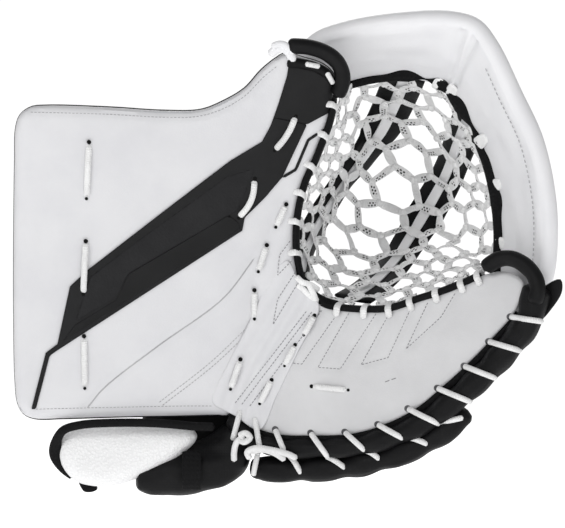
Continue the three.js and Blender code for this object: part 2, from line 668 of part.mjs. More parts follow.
glove.position.copy(handCentre).negate();
export default glove;
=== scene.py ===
import math
import random

import bmesh
import bpy
import numpy as np
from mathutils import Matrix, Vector, noise
from mathutils.geometry import delaunay_2d_cdt


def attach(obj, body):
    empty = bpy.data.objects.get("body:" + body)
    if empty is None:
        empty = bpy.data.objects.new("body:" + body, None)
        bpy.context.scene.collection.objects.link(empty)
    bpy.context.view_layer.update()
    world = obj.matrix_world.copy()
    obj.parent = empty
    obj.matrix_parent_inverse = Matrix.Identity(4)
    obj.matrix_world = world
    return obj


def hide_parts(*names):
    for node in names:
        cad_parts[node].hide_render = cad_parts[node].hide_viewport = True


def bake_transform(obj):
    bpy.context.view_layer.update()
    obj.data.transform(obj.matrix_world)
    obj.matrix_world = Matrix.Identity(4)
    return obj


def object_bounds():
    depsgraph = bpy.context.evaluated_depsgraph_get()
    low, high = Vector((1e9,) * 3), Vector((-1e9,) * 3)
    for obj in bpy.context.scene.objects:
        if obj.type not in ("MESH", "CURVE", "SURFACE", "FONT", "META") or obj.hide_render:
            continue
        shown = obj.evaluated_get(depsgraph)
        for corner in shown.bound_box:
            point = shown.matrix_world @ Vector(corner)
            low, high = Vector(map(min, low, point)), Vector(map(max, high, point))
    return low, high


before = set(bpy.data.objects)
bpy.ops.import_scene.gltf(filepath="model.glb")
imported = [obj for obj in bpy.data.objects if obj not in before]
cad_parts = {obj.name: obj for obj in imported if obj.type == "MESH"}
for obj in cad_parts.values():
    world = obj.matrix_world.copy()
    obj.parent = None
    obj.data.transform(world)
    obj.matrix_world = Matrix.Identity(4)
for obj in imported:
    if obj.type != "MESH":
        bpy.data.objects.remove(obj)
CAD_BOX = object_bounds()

HAND = np.array((-95.0, 62.0, -66.0))
MM = 0.001


def row(points):
    return (np.asarray(points, float) - HAND) * MM


# ---- Driving dimensions, in millimetres ----
HEEL = np.array((-34.0, -105.0))
FOLD_TOP = np.array((118.0, 168.0))
FOLD_LENGTH = float(np.linalg.norm(FOLD_TOP - HEEL))
FOLD_DIR = (FOLD_TOP - HEEL) / FOLD_LENGTH
AWAY = np.array((FOLD_DIR[1], -FOLD_DIR[0]))
FOLD_HEEL_Y = 30.0
FOLD_TOP_Y = -25.0
BOARD_SLOPE = 0.22
PALM_SLOPE = 0.25
PALM_CURL = 0.0008
BOARD_DEPTH = 18.0
BOARD_BACK = 20.3
PALM_DEPTH = 12.0
PALM_BACK = 14.3
BOARD_EDGE = 6.0  # how round the cuff board's edge is
BOARD_CROWN = 3.5  # how far the padding lifts its middle
PALM_EDGE = 3.0
PALM_CROWN = 1.6
BACK_GAP = 0.2  # between a board and the panel behind it
HAND_COVER_FRONT = 62.9  # the back of the hand's cover, behind the palm's surface
HAND_COVER_BACK = 64.4
BREAK_HALF = 21.0  # how far the break leather reaches from the fold
BREAK_ROUND = 2.2  # how round it bends there
BREAK_LIFT = 1.9  # how far it lies over the boards
LACE_RADIUS = 2.1
LACE_THICK = 1.5
PALM_ROLL_DEEP = 4.0  # the rolls' middles, behind the palm's surface
LOWER_ROLL_DEEP = 14.0
PALM_ROLL_TALL = 1.2  # its height over its width
ROLL_GAP = 0.6  # between a roll and the lace over it
RIM_THICK = 14.0
NET_WIDTH = 6.2
NET_THICK = 1.5
POCKET_CENTRE = np.array((80.0, 52.0))
POCKET_DEEP = 118.0
BOWL_POWER = 2.4
SPINE_WIDTH = 29.0
SPINE_STRIPE = 8.2


# ---- Numbers ----
def along(x, z):
    return (x - HEEL[0]) * FOLD_DIR[0] + (z - HEEL[1]) * FOLD_DIR[1]


def beyond(x, z):
    return (x - HEEL[0]) * AWAY[0] + (z - HEEL[1]) * AWAY[1]


def from_fold(t, s):
    return tuple(HEEL + t * FOLD_DIR + s * AWAY)


def fold_y(t):
    return FOLD_HEEL_Y + (FOLD_TOP_Y - FOLD_HEEL_Y) * t / FOLD_LENGTH


def board_y(x, z):
    return fold_y(along(x, z)) + BOARD_SLOPE * beyond(x, z)


def palm_y(x, z):
    s = beyond(x, z)
    return fold_y(along(x, z)) - PALM_SLOPE * s - PALM_CURL * s * s


def unit(v):
    v = np.asarray(v, float)
    size = np.linalg.norm(v, axis=-1, keepdims=True)
    return v / np.where(size < 1e-9, 1, size)


def resample(points, step, closed=False):
    p = np.asarray(points, float)
    if closed:
        p = np.vstack([p, p[:1]])
    lengths = np.concatenate([[0], np.cumsum(np.linalg.norm(np.diff(p, axis=0), axis=1))])
    count = max(2, int(round(lengths[-1] / step)) + 1)
    wanted = np.linspace(0, lengths[-1], count)
    made = np.stack([np.interp(wanted, lengths, p[:, k]) for k in range(p.shape[1])], axis=1)
    return made[:-1] if closed else made


def curve(points, step=2.0, closed=False):
    """A smooth line through the points, with a point about every step millimetres."""
    p = np.asarray(points, float)
    if closed:
        p = np.vstack([p[-1:], p, p[:2]])
    else:
        p = np.vstack([2 * p[0] - p[1], p, 2 * p[-1] - p[-2]])
    made = []
    for a, b, c, d in zip(p, p[1:], p[2:], p[3:]):
        la, lb, lc = (max(1e-4, math.sqrt(np.linalg.norm(q))) for q in (b - a, c - b, d - c))
        leave = lb * ((b - a) / la - (c - a) / (la + lb) + (c - b) / lb)
        reach = lb * ((c - b) / lb - (d - b) / (lb + lc) + (d - c) / lc)
        u = np.linspace(0, 1, 12, endpoint=False)[:, None]
        made.append(
            (2 * u**3 - 3 * u**2 + 1) * b
            + (u**3 - 2 * u**2 + u) * leave
            + (-2 * u**3 + 3 * u**2) * c
            + (u**3 - u**2) * reach
        )
    line = np.vstack(made) if closed else np.vstack(made + [p[-2:-1]])
    return resample(line, step, closed)


def shifted(line, distance, closed=False):
    """A line in the X-Z plane moved sideways, to the left of travel."""
    p = np.asarray(line, float)
    if closed:
        step = np.roll(p, -1, axis=0) - np.roll(p, 1, axis=0)
    else:
        step = np.gradient(p, axis=0)
    step = unit(step)
    return p + distance * np.stack([-step[:, 1], step[:, 0]], axis=1)


def distance_to(x, z, line, closed=False):
    p = np.asarray(line, float)
    q = np.roll(p, -1, axis=0) if closed else p[1:]
    p = p if closed else p[:-1]
    best = np.full(np.shape(x), 1e9)
    for a, b in zip(p, q):
        d = b - a
        share = np.clip(((x - a[0]) * d[0] + (z - a[1]) * d[1]) / max(1e-9, d @ d), 0, 1)
        best = np.minimum(best, np.hypot(x - a[0] - share * d[0], z - a[1] - share * d[1]))
    return best


def inside(x, z, ring):
    found = np.zeros(np.shape(x), bool)
    for a, b in zip(ring, np.roll(ring, -1, axis=0)):
        crosses = (a[1] > z) != (b[1] > z)
        rise = b[1] - a[1] if b[1] != a[1] else 1e-9
        found ^= crosses & (x < (b[0] - a[0]) * (z - a[1]) / rise + a[0])
    return found


def edge_drop(d, radius):
    """How far back a rounded edge lies, at a distance d in from the outline."""
    return radius - np.sqrt(np.maximum(0, radius**2 - (radius - np.minimum(d, radius)) ** 2))


def ripple(x, z, size, seed=0.0):
    """Smooth random waves over the X-Z plane, between about -0.6 and 0.6."""
    flat = np.broadcast_arrays(np.asarray(x, float), np.asarray(z, float))
    found = [
        noise.noise(Vector((a / size, seed, b / size))) for a, b in zip(flat[0].ravel(), flat[1].ravel())
    ]
    return np.array(found).reshape(flat[0].shape)


# ---- Materials ----
class Paint:
    """A principled material and the few nodes that vary it."""

    def __init__(self, name, color, roughness, **fixed):
        self.material = bpy.data.materials.new(name)
        self.material.use_nodes = True
        self.nodes = self.material.node_tree.nodes
        self.links = self.material.node_tree.links
        self.shader = self.nodes["Principled BSDF"]
        self.color = color
        self.shader.inputs["Base Color"].default_value = (*color, 1)
        self.shader.inputs["Roughness"].default_value = roughness
        for socket, value in fixed.items():
            self.shader.inputs[socket.replace("_", " ")].default_value = value
        self.place = self.nodes.new("ShaderNodeTexCoord").outputs["Object"]
        self.height = None

    def noise(self, scale, detail=3.0, rough=0.5):
        node = self.nodes.new("ShaderNodeTexNoise")
        node.inputs["Scale"].default_value = scale
        node.inputs["Detail"].default_value = detail
        node.inputs["Roughness"].default_value = rough
        self.links.new(self.place, node.inputs["Vector"])
        return node.outputs["Fac"]

    def cells(self, scale, feature="F1"):
        node = self.nodes.new("ShaderNodeTexVoronoi")
        node.feature = feature
        node.inputs["Scale"].default_value = scale
        self.links.new(self.place, node.inputs["Vector"])
        return node.outputs["Distance"]

    def bands(self, scale, direction):
        node = self.nodes.new("ShaderNodeTexWave")
        node.bands_direction = direction
        node.inputs["Scale"].default_value = scale
        node.inputs["Distortion"].default_value = 0.4
        self.links.new(self.place, node.inputs["Vector"])
        return node.outputs["Fac"]

    def math(self, kind, a, b=0.0):
        node = self.nodes.new("ShaderNodeMath")
        node.operation = kind
        for socket, value in zip(node.inputs, (a, b)):
            if isinstance(value, float):
                socket.default_value = value
            else:
                self.links.new(value, socket)
        return node.outputs[0]

    def vary(self, factor, other, low=0.35, high=0.65):
        """Mixes the colour towards another where factor is high."""
        ramp = self.nodes.new("ShaderNodeValToRGB")
        ramp.color_ramp.elements[0].position = low
        ramp.color_ramp.elements[0].color = (*self.color, 1)
        ramp.color_ramp.elements[1].position = high
        ramp.color_ramp.elements[1].color = (*other, 1)
        self.links.new(factor, ramp.inputs["Fac"])
        self.links.new(ramp.outputs["Color"], self.shader.inputs["Base Color"])
        return ramp.outputs["Color"]

    def gloss(self, factor, low, high):
        node = self.nodes.new("ShaderNodeMapRange")
        node.inputs["To Min"].default_value = low
        node.inputs["To Max"].default_value = high
        self.links.new(factor, node.inputs["Value"])
        self.links.new(node.outputs["Result"], self.shader.inputs["Roughness"])

    def bump(self, height, depth_mm, strength=1.0):
        node = self.nodes.new("ShaderNodeBump")
        node.inputs["Strength"].default_value = strength
        node.inputs["Distance"].default_value = depth_mm * MM
        self.links.new(height, node.inputs["Height"])
        if self.height is not None:
            self.links.new(self.height, node.inputs["Normal"])
        self.height = node.outputs["Normal"]
        self.links.new(self.height, self.shader.inputs["Normal"])

    def woven_place(self):
        """The lace's own coordinates: along it in mm, round it, and where its tracer shows."""
        node = self.nodes.new("ShaderNodeAttribute")
        node.attribute_name = "weave"
        parts = self.nodes.new("ShaderNodeSeparateXYZ")
        self.links.new(node.outputs["Vector"], parts.inputs[0])
        return parts.outputs


def leather(name, color, worn, roughness, grain_mm=1.1, grain=0.05, soft=0.5, **fixed):
    """Leather with a worn second colour, a fine grain and soft dents. Depths are in millimetres."""
    paint = Paint(name, color, roughness, **fixed)
    paint.vary(paint.noise(28, 5, 0.6), worn, 0.38, 0.7)
    paint.gloss(paint.noise(60, 4, 0.6), roughness - 0.07, roughness + 0.09)
    paint.bump(paint.noise(45, 3, 0.5), soft)
    paint.bump(paint.cells(1000 / grain_mm, "SMOOTH_F1"), grain)
    return paint.material


def fabric(name, color, worn, roughness, thread_mm, depth, **fixed):
    """Woven cloth or webbing: crossed bands one thread wide."""
    paint = Paint(name, color, roughness, **fixed)
    paint.vary(paint.noise(40, 5, 0.6), worn, 0.35, 0.7)
    turns = 1000 / thread_mm / 20 * math.pi
    paint.bump(paint.noise(70, 3, 0.5), 0.4)
    weave = paint.math("MULTIPLY", paint.bands(turns, "X"), paint.bands(turns, "Z"))
    paint.bump(weave, depth)
    return paint.material


def knit(name, color, dark, cell_mm):
    """Spacer mesh: round cells with open middles."""
    paint = Paint(name, color, 0.85, Sheen_Weight=0.3)
    cells = paint.cells(1000 / cell_mm)
    # Painted shade: the colour darkens where the cells' bump lies low, between the raised cells.
    paint.vary(cells, dark, 0.02, 0.55)
    turned = paint.math("SUBTRACT", 1.0, cells)
    paint.bump(turned, 0.5)
    return paint.material


def laced(name, color, tracer=False):
    """Braided lace: chevrons along it, and black tracer dots where the lace shows that side."""
    paint = Paint(name, color, 0.62, Sheen_Weight=0.15)
    u, v, mask = paint.woven_place()
    slant = paint.math(
        "ADD", paint.math("MULTIPLY", u, 4.2), paint.math("MULTIPLY", paint.math("ABSOLUTE", v), 2.5)
    )
    paint.bump(paint.math("SINE", slant), 0.12)
    stain = paint.noise(90, 3)
    shade = paint.vary(stain, tuple(0.86 * c for c in color), 0.35, 0.75)
    if tracer:
        rows = None
        for centre, lag in ((0.42, 0.0), (-0.14, 0.5)):
            across = paint.math(
                "LESS_THAN", paint.math("ABSOLUTE", paint.math("SUBTRACT", v, centre)), 0.19
            )
            step = paint.math("FRACT", paint.math("ADD", paint.math("MULTIPLY", u, 0.36), lag))
            dot = paint.math("MULTIPLY", across, paint.math("LESS_THAN", step, 0.55))
            rows = dot if rows is None else paint.math("MAXIMUM", rows, dot)
        rows = paint.math("MULTIPLY", rows, mask)
        mix = paint.nodes.new("ShaderNodeMix")
        mix.data_type = "RGBA"
        paint.links.new(rows, mix.inputs[0])
        paint.links.new(shade, mix.inputs[6])
        mix.inputs[7].default_value = (0.012, 0.012, 0.013, 1)
        paint.links.new(mix.outputs[2], paint.shader.inputs["Base Color"])
    return paint.material


def plain(name, color, worn, roughness, grain_mm=1.5, depth=0.1, **fixed):
    """A material with only a faint second colour and a light grain."""
    paint = Paint(name, color, roughness, **fixed)
    paint.vary(paint.noise(50, 4), worn)
    paint.bump(paint.noise(1000 / grain_mm, 2), depth)
    return paint.material


DULL = {"Specular_IOR_Level": 0.12}
WHITE = leather(
    "white_leather", (0.77, 0.77, 0.785), (0.73, 0.73, 0.75), 0.42, soft=0.3, Coat_Weight=0.08
)
# Painted shade: the same white leather as WHITE, made darker to offset the stronger light that falls on the
# cuff board.
CUFF_SHADED_WHITE = leather("cuff_leather_painted_shade", (0.64, 0.64, 0.655), (0.60, 0.60, 0.62), 0.45, soft=0.4)
# Painted light: white leather made brighter than WHITE to offset the shade inside the pocket.
SPINE_LIT_WHITE = leather("spine_leather_painted_light", (0.90, 0.90, 0.91), (0.86, 0.86, 0.87), 0.45, soft=0.3)
GREY = leather("palm_leather", (0.60, 0.60, 0.61), (0.55, 0.55, 0.56), 0.5, soft=0.4)
CHARCOAL = leather(
    "charcoal_leather", (0.012, 0.012, 0.0125), (0.016, 0.016, 0.017), 0.5, grain=0.03, **DULL
)
RIBBED = leather(
    "charcoal_embossed", (0.015, 0.015, 0.016), (0.020, 0.020, 0.021), 0.6, 1.8, 0.25, **DULL
)
GLOSSY = leather(
    "charcoal_gloss", (0.009, 0.009, 0.0095), (0.012, 0.012, 0.0125), 0.38, grain=0.02, **DULL
)
BLACK = leather(
    "black_leather", (0.005, 0.005, 0.0055), (0.009, 0.009, 0.0095), 0.5, grain=0.06, soft=0.8, **DULL
)
NYLON = fabric("black_nylon", (0.004, 0.004, 0.0045), (0.008, 0.008, 0.0085), 0.5, 0.9, 0.06, **DULL)
WEB = fabric("black_webbing", (0.0035, 0.0035, 0.004), (0.006, 0.006, 0.0065), 0.7, 1.6, 0.25, **DULL)
LINER = fabric("liner_cloth", (0.004, 0.004, 0.0045), (0.008, 0.008, 0.0085), 0.9, 1.4, 0.2, **DULL)
LACE = laced("white_lace", (0.80, 0.80, 0.80))
# Painted light: the same white lace as LACE, made brighter to offset the shade inside the pocket. Its black
# tracer dots are print.
NET_LACE_LIT = laced("net_lace", (0.88, 0.88, 0.88), tracer=True)
# Its second colour is painted shade in the low ground between the knit's cells.
MESH_KNIT = knit("white_mesh_knit", (0.90, 0.90, 0.905), (0.80, 0.80, 0.805), 1.7)
THREAD = plain("grey_thread", (0.26, 0.26, 0.27), (0.19, 0.19, 0.20), 0.8)
PALE_THREAD = plain("pale_thread", (0.42, 0.42, 0.43), (0.35, 0.35, 0.36), 0.8)
# Painted shade: near-black discs stand for the dark inside of the lace holes.
HOLE_SHADE = plain("painted_hole_shade", (0.004, 0.004, 0.004), (0.007, 0.007, 0.007), 0.9, **DULL)
EYELET = plain("grey_eyelet", (0.10, 0.10, 0.105), (0.06, 0.06, 0.065), 0.4, Metallic=0.5)
FOAM = plain("grey_foam", (0.45, 0.46, 0.48), (0.36, 0.37, 0.39), 0.95, 2.0, 0.4)
PLASTIC = plain("stiff_plastic", (0.045, 0.047, 0.05), (0.06, 0.062, 0.065), 0.42)


# ---- Mesh making ----
def make(name, parts, material, weave=None, sharp_deg=40):
    """One object from one or more (points, faces) bodies, in drawn millimetres."""
    points, faces, start = [], [], 0
    for body_points, body_faces in parts:
        points.append(np.asarray(body_points, float))
        faces.extend([tuple(start + i for i in face) for face in body_faces])
        start += len(body_points)
    mesh = bpy.data.meshes.new(name)
    mesh.from_pydata(row(np.vstack(points)).tolist(), [], faces)
    mesh.update()
    editing = bmesh.new()
    editing.from_mesh(mesh)
    bmesh.ops.recalc_face_normals(editing, faces=editing.faces)
    editing.to_mesh(mesh)
    editing.free()
    mesh.polygons.foreach_set("use_smooth", [True] * len(mesh.polygons))
    mesh.set_sharp_from_angle(angle=math.radians(sharp_deg))
    if weave is not None:
        attribute = mesh.attributes.new("weave", "FLOAT_VECTOR", "POINT")
        attribute.data.foreach_set("vector", np.vstack(weave).astype(np.float32).ravel())
    mesh.materials.append(material)
    obj = bpy.data.objects.new(name, mesh)
    bpy.context.scene.collection.objects.link(obj)
    return obj


def tube_faces(count, sides, closed=False):
    """Four-sided faces between rings of points, and a cap at each open end."""
    faces = []
    for i in range(count if closed else count - 1):
        start, following = i * sides, (i + 1) % count * sides
        for k in range(sides):
            j = (k + 1) % sides
            faces.append((start + k, following + k, following + j, start + j))
    if not closed:
        faces.append(tuple(range(sides)))
        faces.append(tuple(range((count - 1) * sides, count * sides)))
    return faces


def sweep(path, section, up=(0, -1, 0), closed=False, tip=0.0, mask=0.0):
    """A section carried along a path. section is an array of (side, up) points, or one for each step.
    tip is the length over which each end rounds off. Returns the points, the faces and the weave."""
    p = np.asarray(path, float)
    count = len(p)
    if closed:
        forward = unit(np.roll(p, -1, axis=0) - np.roll(p, 1, axis=0))
    else:
        forward = unit(np.gradient(p, axis=0))
    ups = np.broadcast_to(np.asarray(up, float), p.shape)
    side = unit(np.cross(forward, ups))
    top = np.cross(side, forward)
    section = np.asarray(section, float)
    if section.ndim == 2:
        section = np.broadcast_to(section, (count, *section.shape))
    steps = np.linalg.norm(np.diff(p, axis=0), axis=1)
    run = np.concatenate([[0], np.cumsum(steps)])
    if tip and not closed:
        near = np.minimum(run, run[-1] - run)
        scale = np.sqrt(np.maximum(0.02, 1 - np.maximum(0, 1 - near / tip) ** 2))
        section = section * scale[:, None, None]
    rings = p[:, None] + section[..., :1] * side[:, None] + section[..., 1:] * top[:, None]
    sides = section.shape[1]
    faces = tube_faces(count, sides, closed)
    reach = np.abs(section[..., 0]).max(axis=1, keepdims=True)
    across = section[..., 0] / np.maximum(reach, 1e-6)
    masks = np.broadcast_to(np.asarray(mask, float).reshape(-1, 1), across.shape)
    woven = np.stack([np.broadcast_to(run[:, None], across.shape), across, masks], axis=-1)
    return rings.reshape(-1, 3), faces, woven.reshape(-1, 3)


def oval(wide, tall, sides=12, power=1.0):
    turn = np.linspace(0, 2 * math.pi, sides, endpoint=False)
    c, s = np.cos(turn), np.sin(turn)
    return np.stack(
        [wide * np.sign(c) * np.abs(c) ** power, tall * np.sign(s) * np.abs(s) ** power], axis=1
    )


def scaled(section, wide, tall):
    """A section for each step of a path, wide and tall as given there."""
    return section[None] * np.stack([wide, tall], axis=1)[:, None]


def swollen(radius, wobble, places):
    """A round section for each step, whose radius wobbles a little."""
    sizes = radius + wobble * np.array([noise.noise(Vector(place)) for place in places])
    return oval(1, 1.15, 16)[None] * sizes[:, None, None]


def strand(name, sweeps, material):
    return make(name, [(p, f) for p, f, _ in sweeps], material, [w for _, _, w in sweeps])


def panel(
    name, outline, surface, front, back, material, edge=1.0, step=2.5, relief=None, rear=None, curved=True
):
    """A sewn panel: the outline filled on a surface, with rounded edges and a relief on its face."""
    ring = curve(outline, step, True) if curved else resample(outline, step, True)
    area = 0.5 * np.sum(ring[:, 0] * np.roll(ring[:, 1], -1) - np.roll(ring[:, 0], -1) * ring[:, 1])
    if area < 0:
        ring = ring[::-1]
    gathered = [ring]
    for share in (0.1, 0.35, 0.7, 1.15):
        inner = shifted(ring, share * edge, True)
        ok = inside(inner[:, 0], inner[:, 1], ring)
        ok &= distance_to(inner[:, 0], inner[:, 1], ring, True) > 0.9 * share * edge
        gathered.append(inner[ok])
    low, high = ring.min(0), ring.max(0)
    lines = np.arange(low[1], high[1], step * 0.866)
    grid = [
        (x, z) for k, z in enumerate(lines) for x in np.arange(low[0] + (k % 2) * step / 2, high[0], step)
    ]
    grid = np.array(grid).reshape(-1, 2)
    ok = inside(grid[:, 0], grid[:, 1], ring)
    grid = grid[ok]
    grid = grid[distance_to(grid[:, 0], grid[:, 1], ring, True) > 1.2 * edge + 0.35 * step]
    gathered.append(grid)
    flat = np.vstack(gathered)
    corners = [Vector(p) for p in flat]
    found = delaunay_2d_cdt(corners, [], [list(range(len(ring)))], 1, 1e-4)
    flat = np.array([tuple(v) for v in found[0]])
    faces = [tuple(f) for f in found[2]]
    x, z = flat[:, 0], flat[:, 1]
    d = distance_to(x, z, ring, True)
    base = surface(x, z)
    rear_edge = min(edge, (back - front) / 3)
    near = base + front + edge_drop(d, edge)
    far = base + back - edge_drop(d, rear_edge)
    if relief is not None:
        near = near + relief(x, z, d)
    if rear is not None:
        far = far + rear(x, z, d)
    far = np.maximum(far, near + 0.05)
    count = len(flat)
    points = np.vstack([np.stack([x, near, z], 1), np.stack([x, far, z], 1)])
    uses = {}
    for f in faces:
        for a, b in zip(f, f[1:] + f[:1]):
            uses[(a, b)] = True
    rim = [(a, b) for a, b in uses if (b, a) not in uses]
    walls = [(a, b, b + count, a + count) for a, b in rim]
    behind = [tuple(i + count for i in reversed(f)) for f in faces]
    return make(name, [(points, faces + behind + walls)], material)


def stitched(lines, skin, pitch=2.5, length=1.5, radius=0.26, lift=0.12, smooth=True):
    """Rows of single stitches lying on a surface."""
    made = []
    for line in lines:
        path = curve(line, 0.5) if smooth else resample(line, 0.5)
        run = len(path)
        step, size = int(round(pitch / 0.5)), int(round(length / 0.5))
        for start in range(1, run - size, step):
            piece = path[start : start + size + 1]
            arch = 0.35 * np.sin(np.linspace(0, math.pi, len(piece)))
            y = skin(piece[:, 0], piece[:, 1]) - lift - arch * radius
            made.append(sweep(lifted(piece, y), oval(radius, radius * 0.8, 6)))
    return made


def disc(x, z, skin, radius, lift=0.2, thick=0.5):
    """A small domed disc lying on a surface."""
    turn = np.linspace(0, 2 * math.pi, 14, endpoint=False)
    rings = []
    for share, rise in ((1.0, -thick), (1.0, 0.0), (0.8, 0.18), (0.4, 0.26)):
        px, pz = x + radius * share * np.cos(turn), z + radius * share * np.sin(turn)
        y = skin(px, pz) - lift - rise
        rings.append(np.stack([px, y, pz], 1))
    sides = len(turn)
    faces = []
    for i in range(3):
        for k in range(sides):
            j = (k + 1) % sides
            faces.append((i * sides + k, i * sides + j, (i + 1) * sides + j, (i + 1) * sides + k))
    faces.append(tuple(range(sides)))
    faces.append(tuple(range(3 * sides, 4 * sides)))
    return np.vstack(rings), faces


def lifted(flat, y):
    """Points of the X-Z plane, given their places along Y."""
    return np.stack([flat[:, 0], y, flat[:, 1]], axis=1)


def spaced(line, surface, deeper=0.0):
    """Puts a line of the X-Z plane on a surface."""
    p = np.asarray(line, float)
    return lifted(p, surface(p[:, 0], p[:, 1]) + deeper)


def blended(obj):
    """Bakes the placement of a piece that lies across the fold, between the thumb side and the finger side,
    into its mesh.
    """
    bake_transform(obj)


def finish_piece(obj, body, nodes=()):
    """Hands a piece over: its body and the nodes it stands for."""
    if body == "blend":
        blended(obj)
    else:
        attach(obj, body)
    if nodes:
        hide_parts(*nodes)


def hand_over(name, sweeps, material, body, nodes=()):
    finish_piece(strand(name, sweeps, material), body, nodes)


# ---- Outlines, in the X-Z plane ----
THUMB_EDGE = [
    (33.5, 112), (31.5, 98), (26.7, 84.4), (21, 70), (14.5, 56), (10.5, 41), (8.3, 24), (8.6, 8),
    (11, -6),
]
BOARD_OUTLINE = [
    (-179, 70), (-178, 91), (-175, 99.5), (-168, 104.5), (-158, 105.6), (-116, 104.6), (-80, 102.6),
    (-55, 103.3), (-40, 109), (-25, 118), (-14, 130), (-4, 138), (1.7, 141), (15, 138), (26, 134.5),
    (33, 129), (35.5, 122), *THUMB_EDGE, from_fold(98, -4), from_fold(60, -4), from_fold(20, -4),
    from_fold(0, -4), (-44, -103), (-70, -103.5), (-110, -104), (-150, -105), (-169, -105), (-176, -102),
    (-180, -95), (-181.5, -80), (-181.5, -30), (-180.5, 20),
]
PALM_POCKET_EDGE = [
    (31, -29), (45, -31), (59, -31.5), (73, -30.5), (92, -24), (106, -19.5), (122, -13), (133, -8),
]
PALM_OUTLINE = [
    from_fold(0, 4), from_fold(40, 4), from_fold(80, 4), from_fold(97, 4), *PALM_POCKET_EDGE, (148, -5),
    (160, -12), (155, -31), (142, -47), (126, -64.5), (109, -81), (90, -97), (68, -108.5), (46, -115),
    (20, -116.5), (-4, -116), (-24, -110),
]
BOARD_RING = curve(BOARD_OUTLINE, 2.5, True)
PALM_RING = curve(PALM_OUTLINE, 2.5, True)

# Seams pressed into the cuff board and the palm.
CUFF_CREASE = [(-19, 4), (-40, -23), (-85, -56), (-121, -84), (-133, -98)]
LACE_VALLEY = [(2, 39), (-4, 26), (-11, 11.5), (-16, -4), (-19, -19), (-20, -36), (-29, -66), (-35, -84)]
CUFF_DOUBLE = [(-20, -39), (-48, -66), (-85, -95)]
TOP_SEAM = [
    (-168, 101), (-116, 99.8), (-80, 98), (-57, 98.6), (-40, 103.6), (-25, 112.5), (-13, 124.5),
    (-3, 132.5),
]
LOW_SEAM = [(-168, -98.5), (-120, -97.6), (-70, -96.8), (-48, -96.8)]
RIBS = [
    [(26, -31), (4, -67), (13, -68), (38, -32.5)],
    [(45, -33), (24, -70), (39, -71), (63, -33.5)],
    [(72, -33), (53, -68), (71, -63), (86.5, -29)],
    [(97.5, -25.5), (83, -57), (106, -35.5), (116, -18.5)],
]


def crowned(height, run):
    """The relief of padding: it rises by height within about run of the edge."""
    return lambda x, z, d: -height * (1 - np.exp(-d / run))


def groove(x, z, line, width, depth):
    return depth * np.exp(-((distance_to(x, z, line) / width) ** 2))


def board_relief(x, z, d):
    padding = -BOARD_CROWN * (1 - np.exp(-d / 20))
    dent = groove(x, z, curve(CUFF_CREASE, 6), 2.6, 1.3)
    dent += groove(x, z, curve(CUFF_DOUBLE, 6), 3.2, 0.8) + groove(x, z, LACE_VALLEY, 6, 1.6)
    dent += groove(x, z, curve(TOP_SEAM, 6), 1.8, 0.8) + groove(x, z, curve(LOW_SEAM, 8), 1.8, 0.8)
    return padding + dent + 0.8 * ripple(x, z, 42)


def palm_relief(x, z, d):
    padding = -PALM_CROWN * (1 - np.exp(-d / 14))
    dent = 0.0
    for rib in RIBS:
        dent = dent + groove(x, z, rib, 1.6, 0.7)
    return padding + dent + 0.9 * ripple(x, z, 34, 5.0)


def board_skin(x, z):
    x, z = np.asarray(x, float), np.asarray(z, float)
    d = distance_to(x, z, BOARD_RING, True)
    d = np.where(inside(x, z, BOARD_RING), d, 0)
    return board_y(x, z) + edge_drop(d, BOARD_EDGE) + board_relief(x, z, d)


def palm_skin(x, z):
    x, z = np.asarray(x, float), np.asarray(z, float)
    d = distance_to(x, z, PALM_RING, True)
    d = np.where(inside(x, z, PALM_RING), d, 0)
    return palm_y(x, z) + edge_drop(d, PALM_EDGE) + palm_relief(x, z, d)


# ---- Laces that pass through a board ----
def lace_loop(ends, skin, surface, depth, bow=0.0):
    """Over the front between two holes, through them and back behind the board."""
    a, b = (np.array(p, float) for p in ends)
    step = unit(b - a)
    side = np.array((-step[1], step[0]))
    share = np.array([0, 0.03, 0.1, 0.3, 0.5, 0.7, 0.9, 0.97, 1.0])
    flat = a + share[:, None] * (b - a) + (bow * 4 * share * (1 - share))[:, None] * side
    y = skin(flat[:, 0], flat[:, 1]) - np.array([-5, -1.2, 0.9, 1.3, 1.5, 1.3, 0.9, -1.2, -5])
    over = lifted(flat, y)
    flat = flat[::-1]
    slack = np.array([-6, 0, 1.2, 1.6, 1.8, 1.6, 1.2, 0, -6])
    under = lifted(flat, surface(flat[:, 0], flat[:, 1]) + depth + slack)
    path = curve(np.vstack([over, under]), 1.5, True)
    centre = path.mean(axis=0)
    return sweep(path, oval(LACE_RADIUS, LACE_THICK, 10), up=centre - path, closed=True)


def hole_shade_discs(laces, skin, radius):
    """Black discs of painted shade for the holes at both ends of each lace, showing just past it."""
    made = []
    for a, b in laces:
        out = 1.3 * unit(np.subtract(b, a))
        made += [disc(*(a - out), skin, radius, 0.15), disc(*(b + out), skin, 0.75 * radius, 0.15)]
    return made


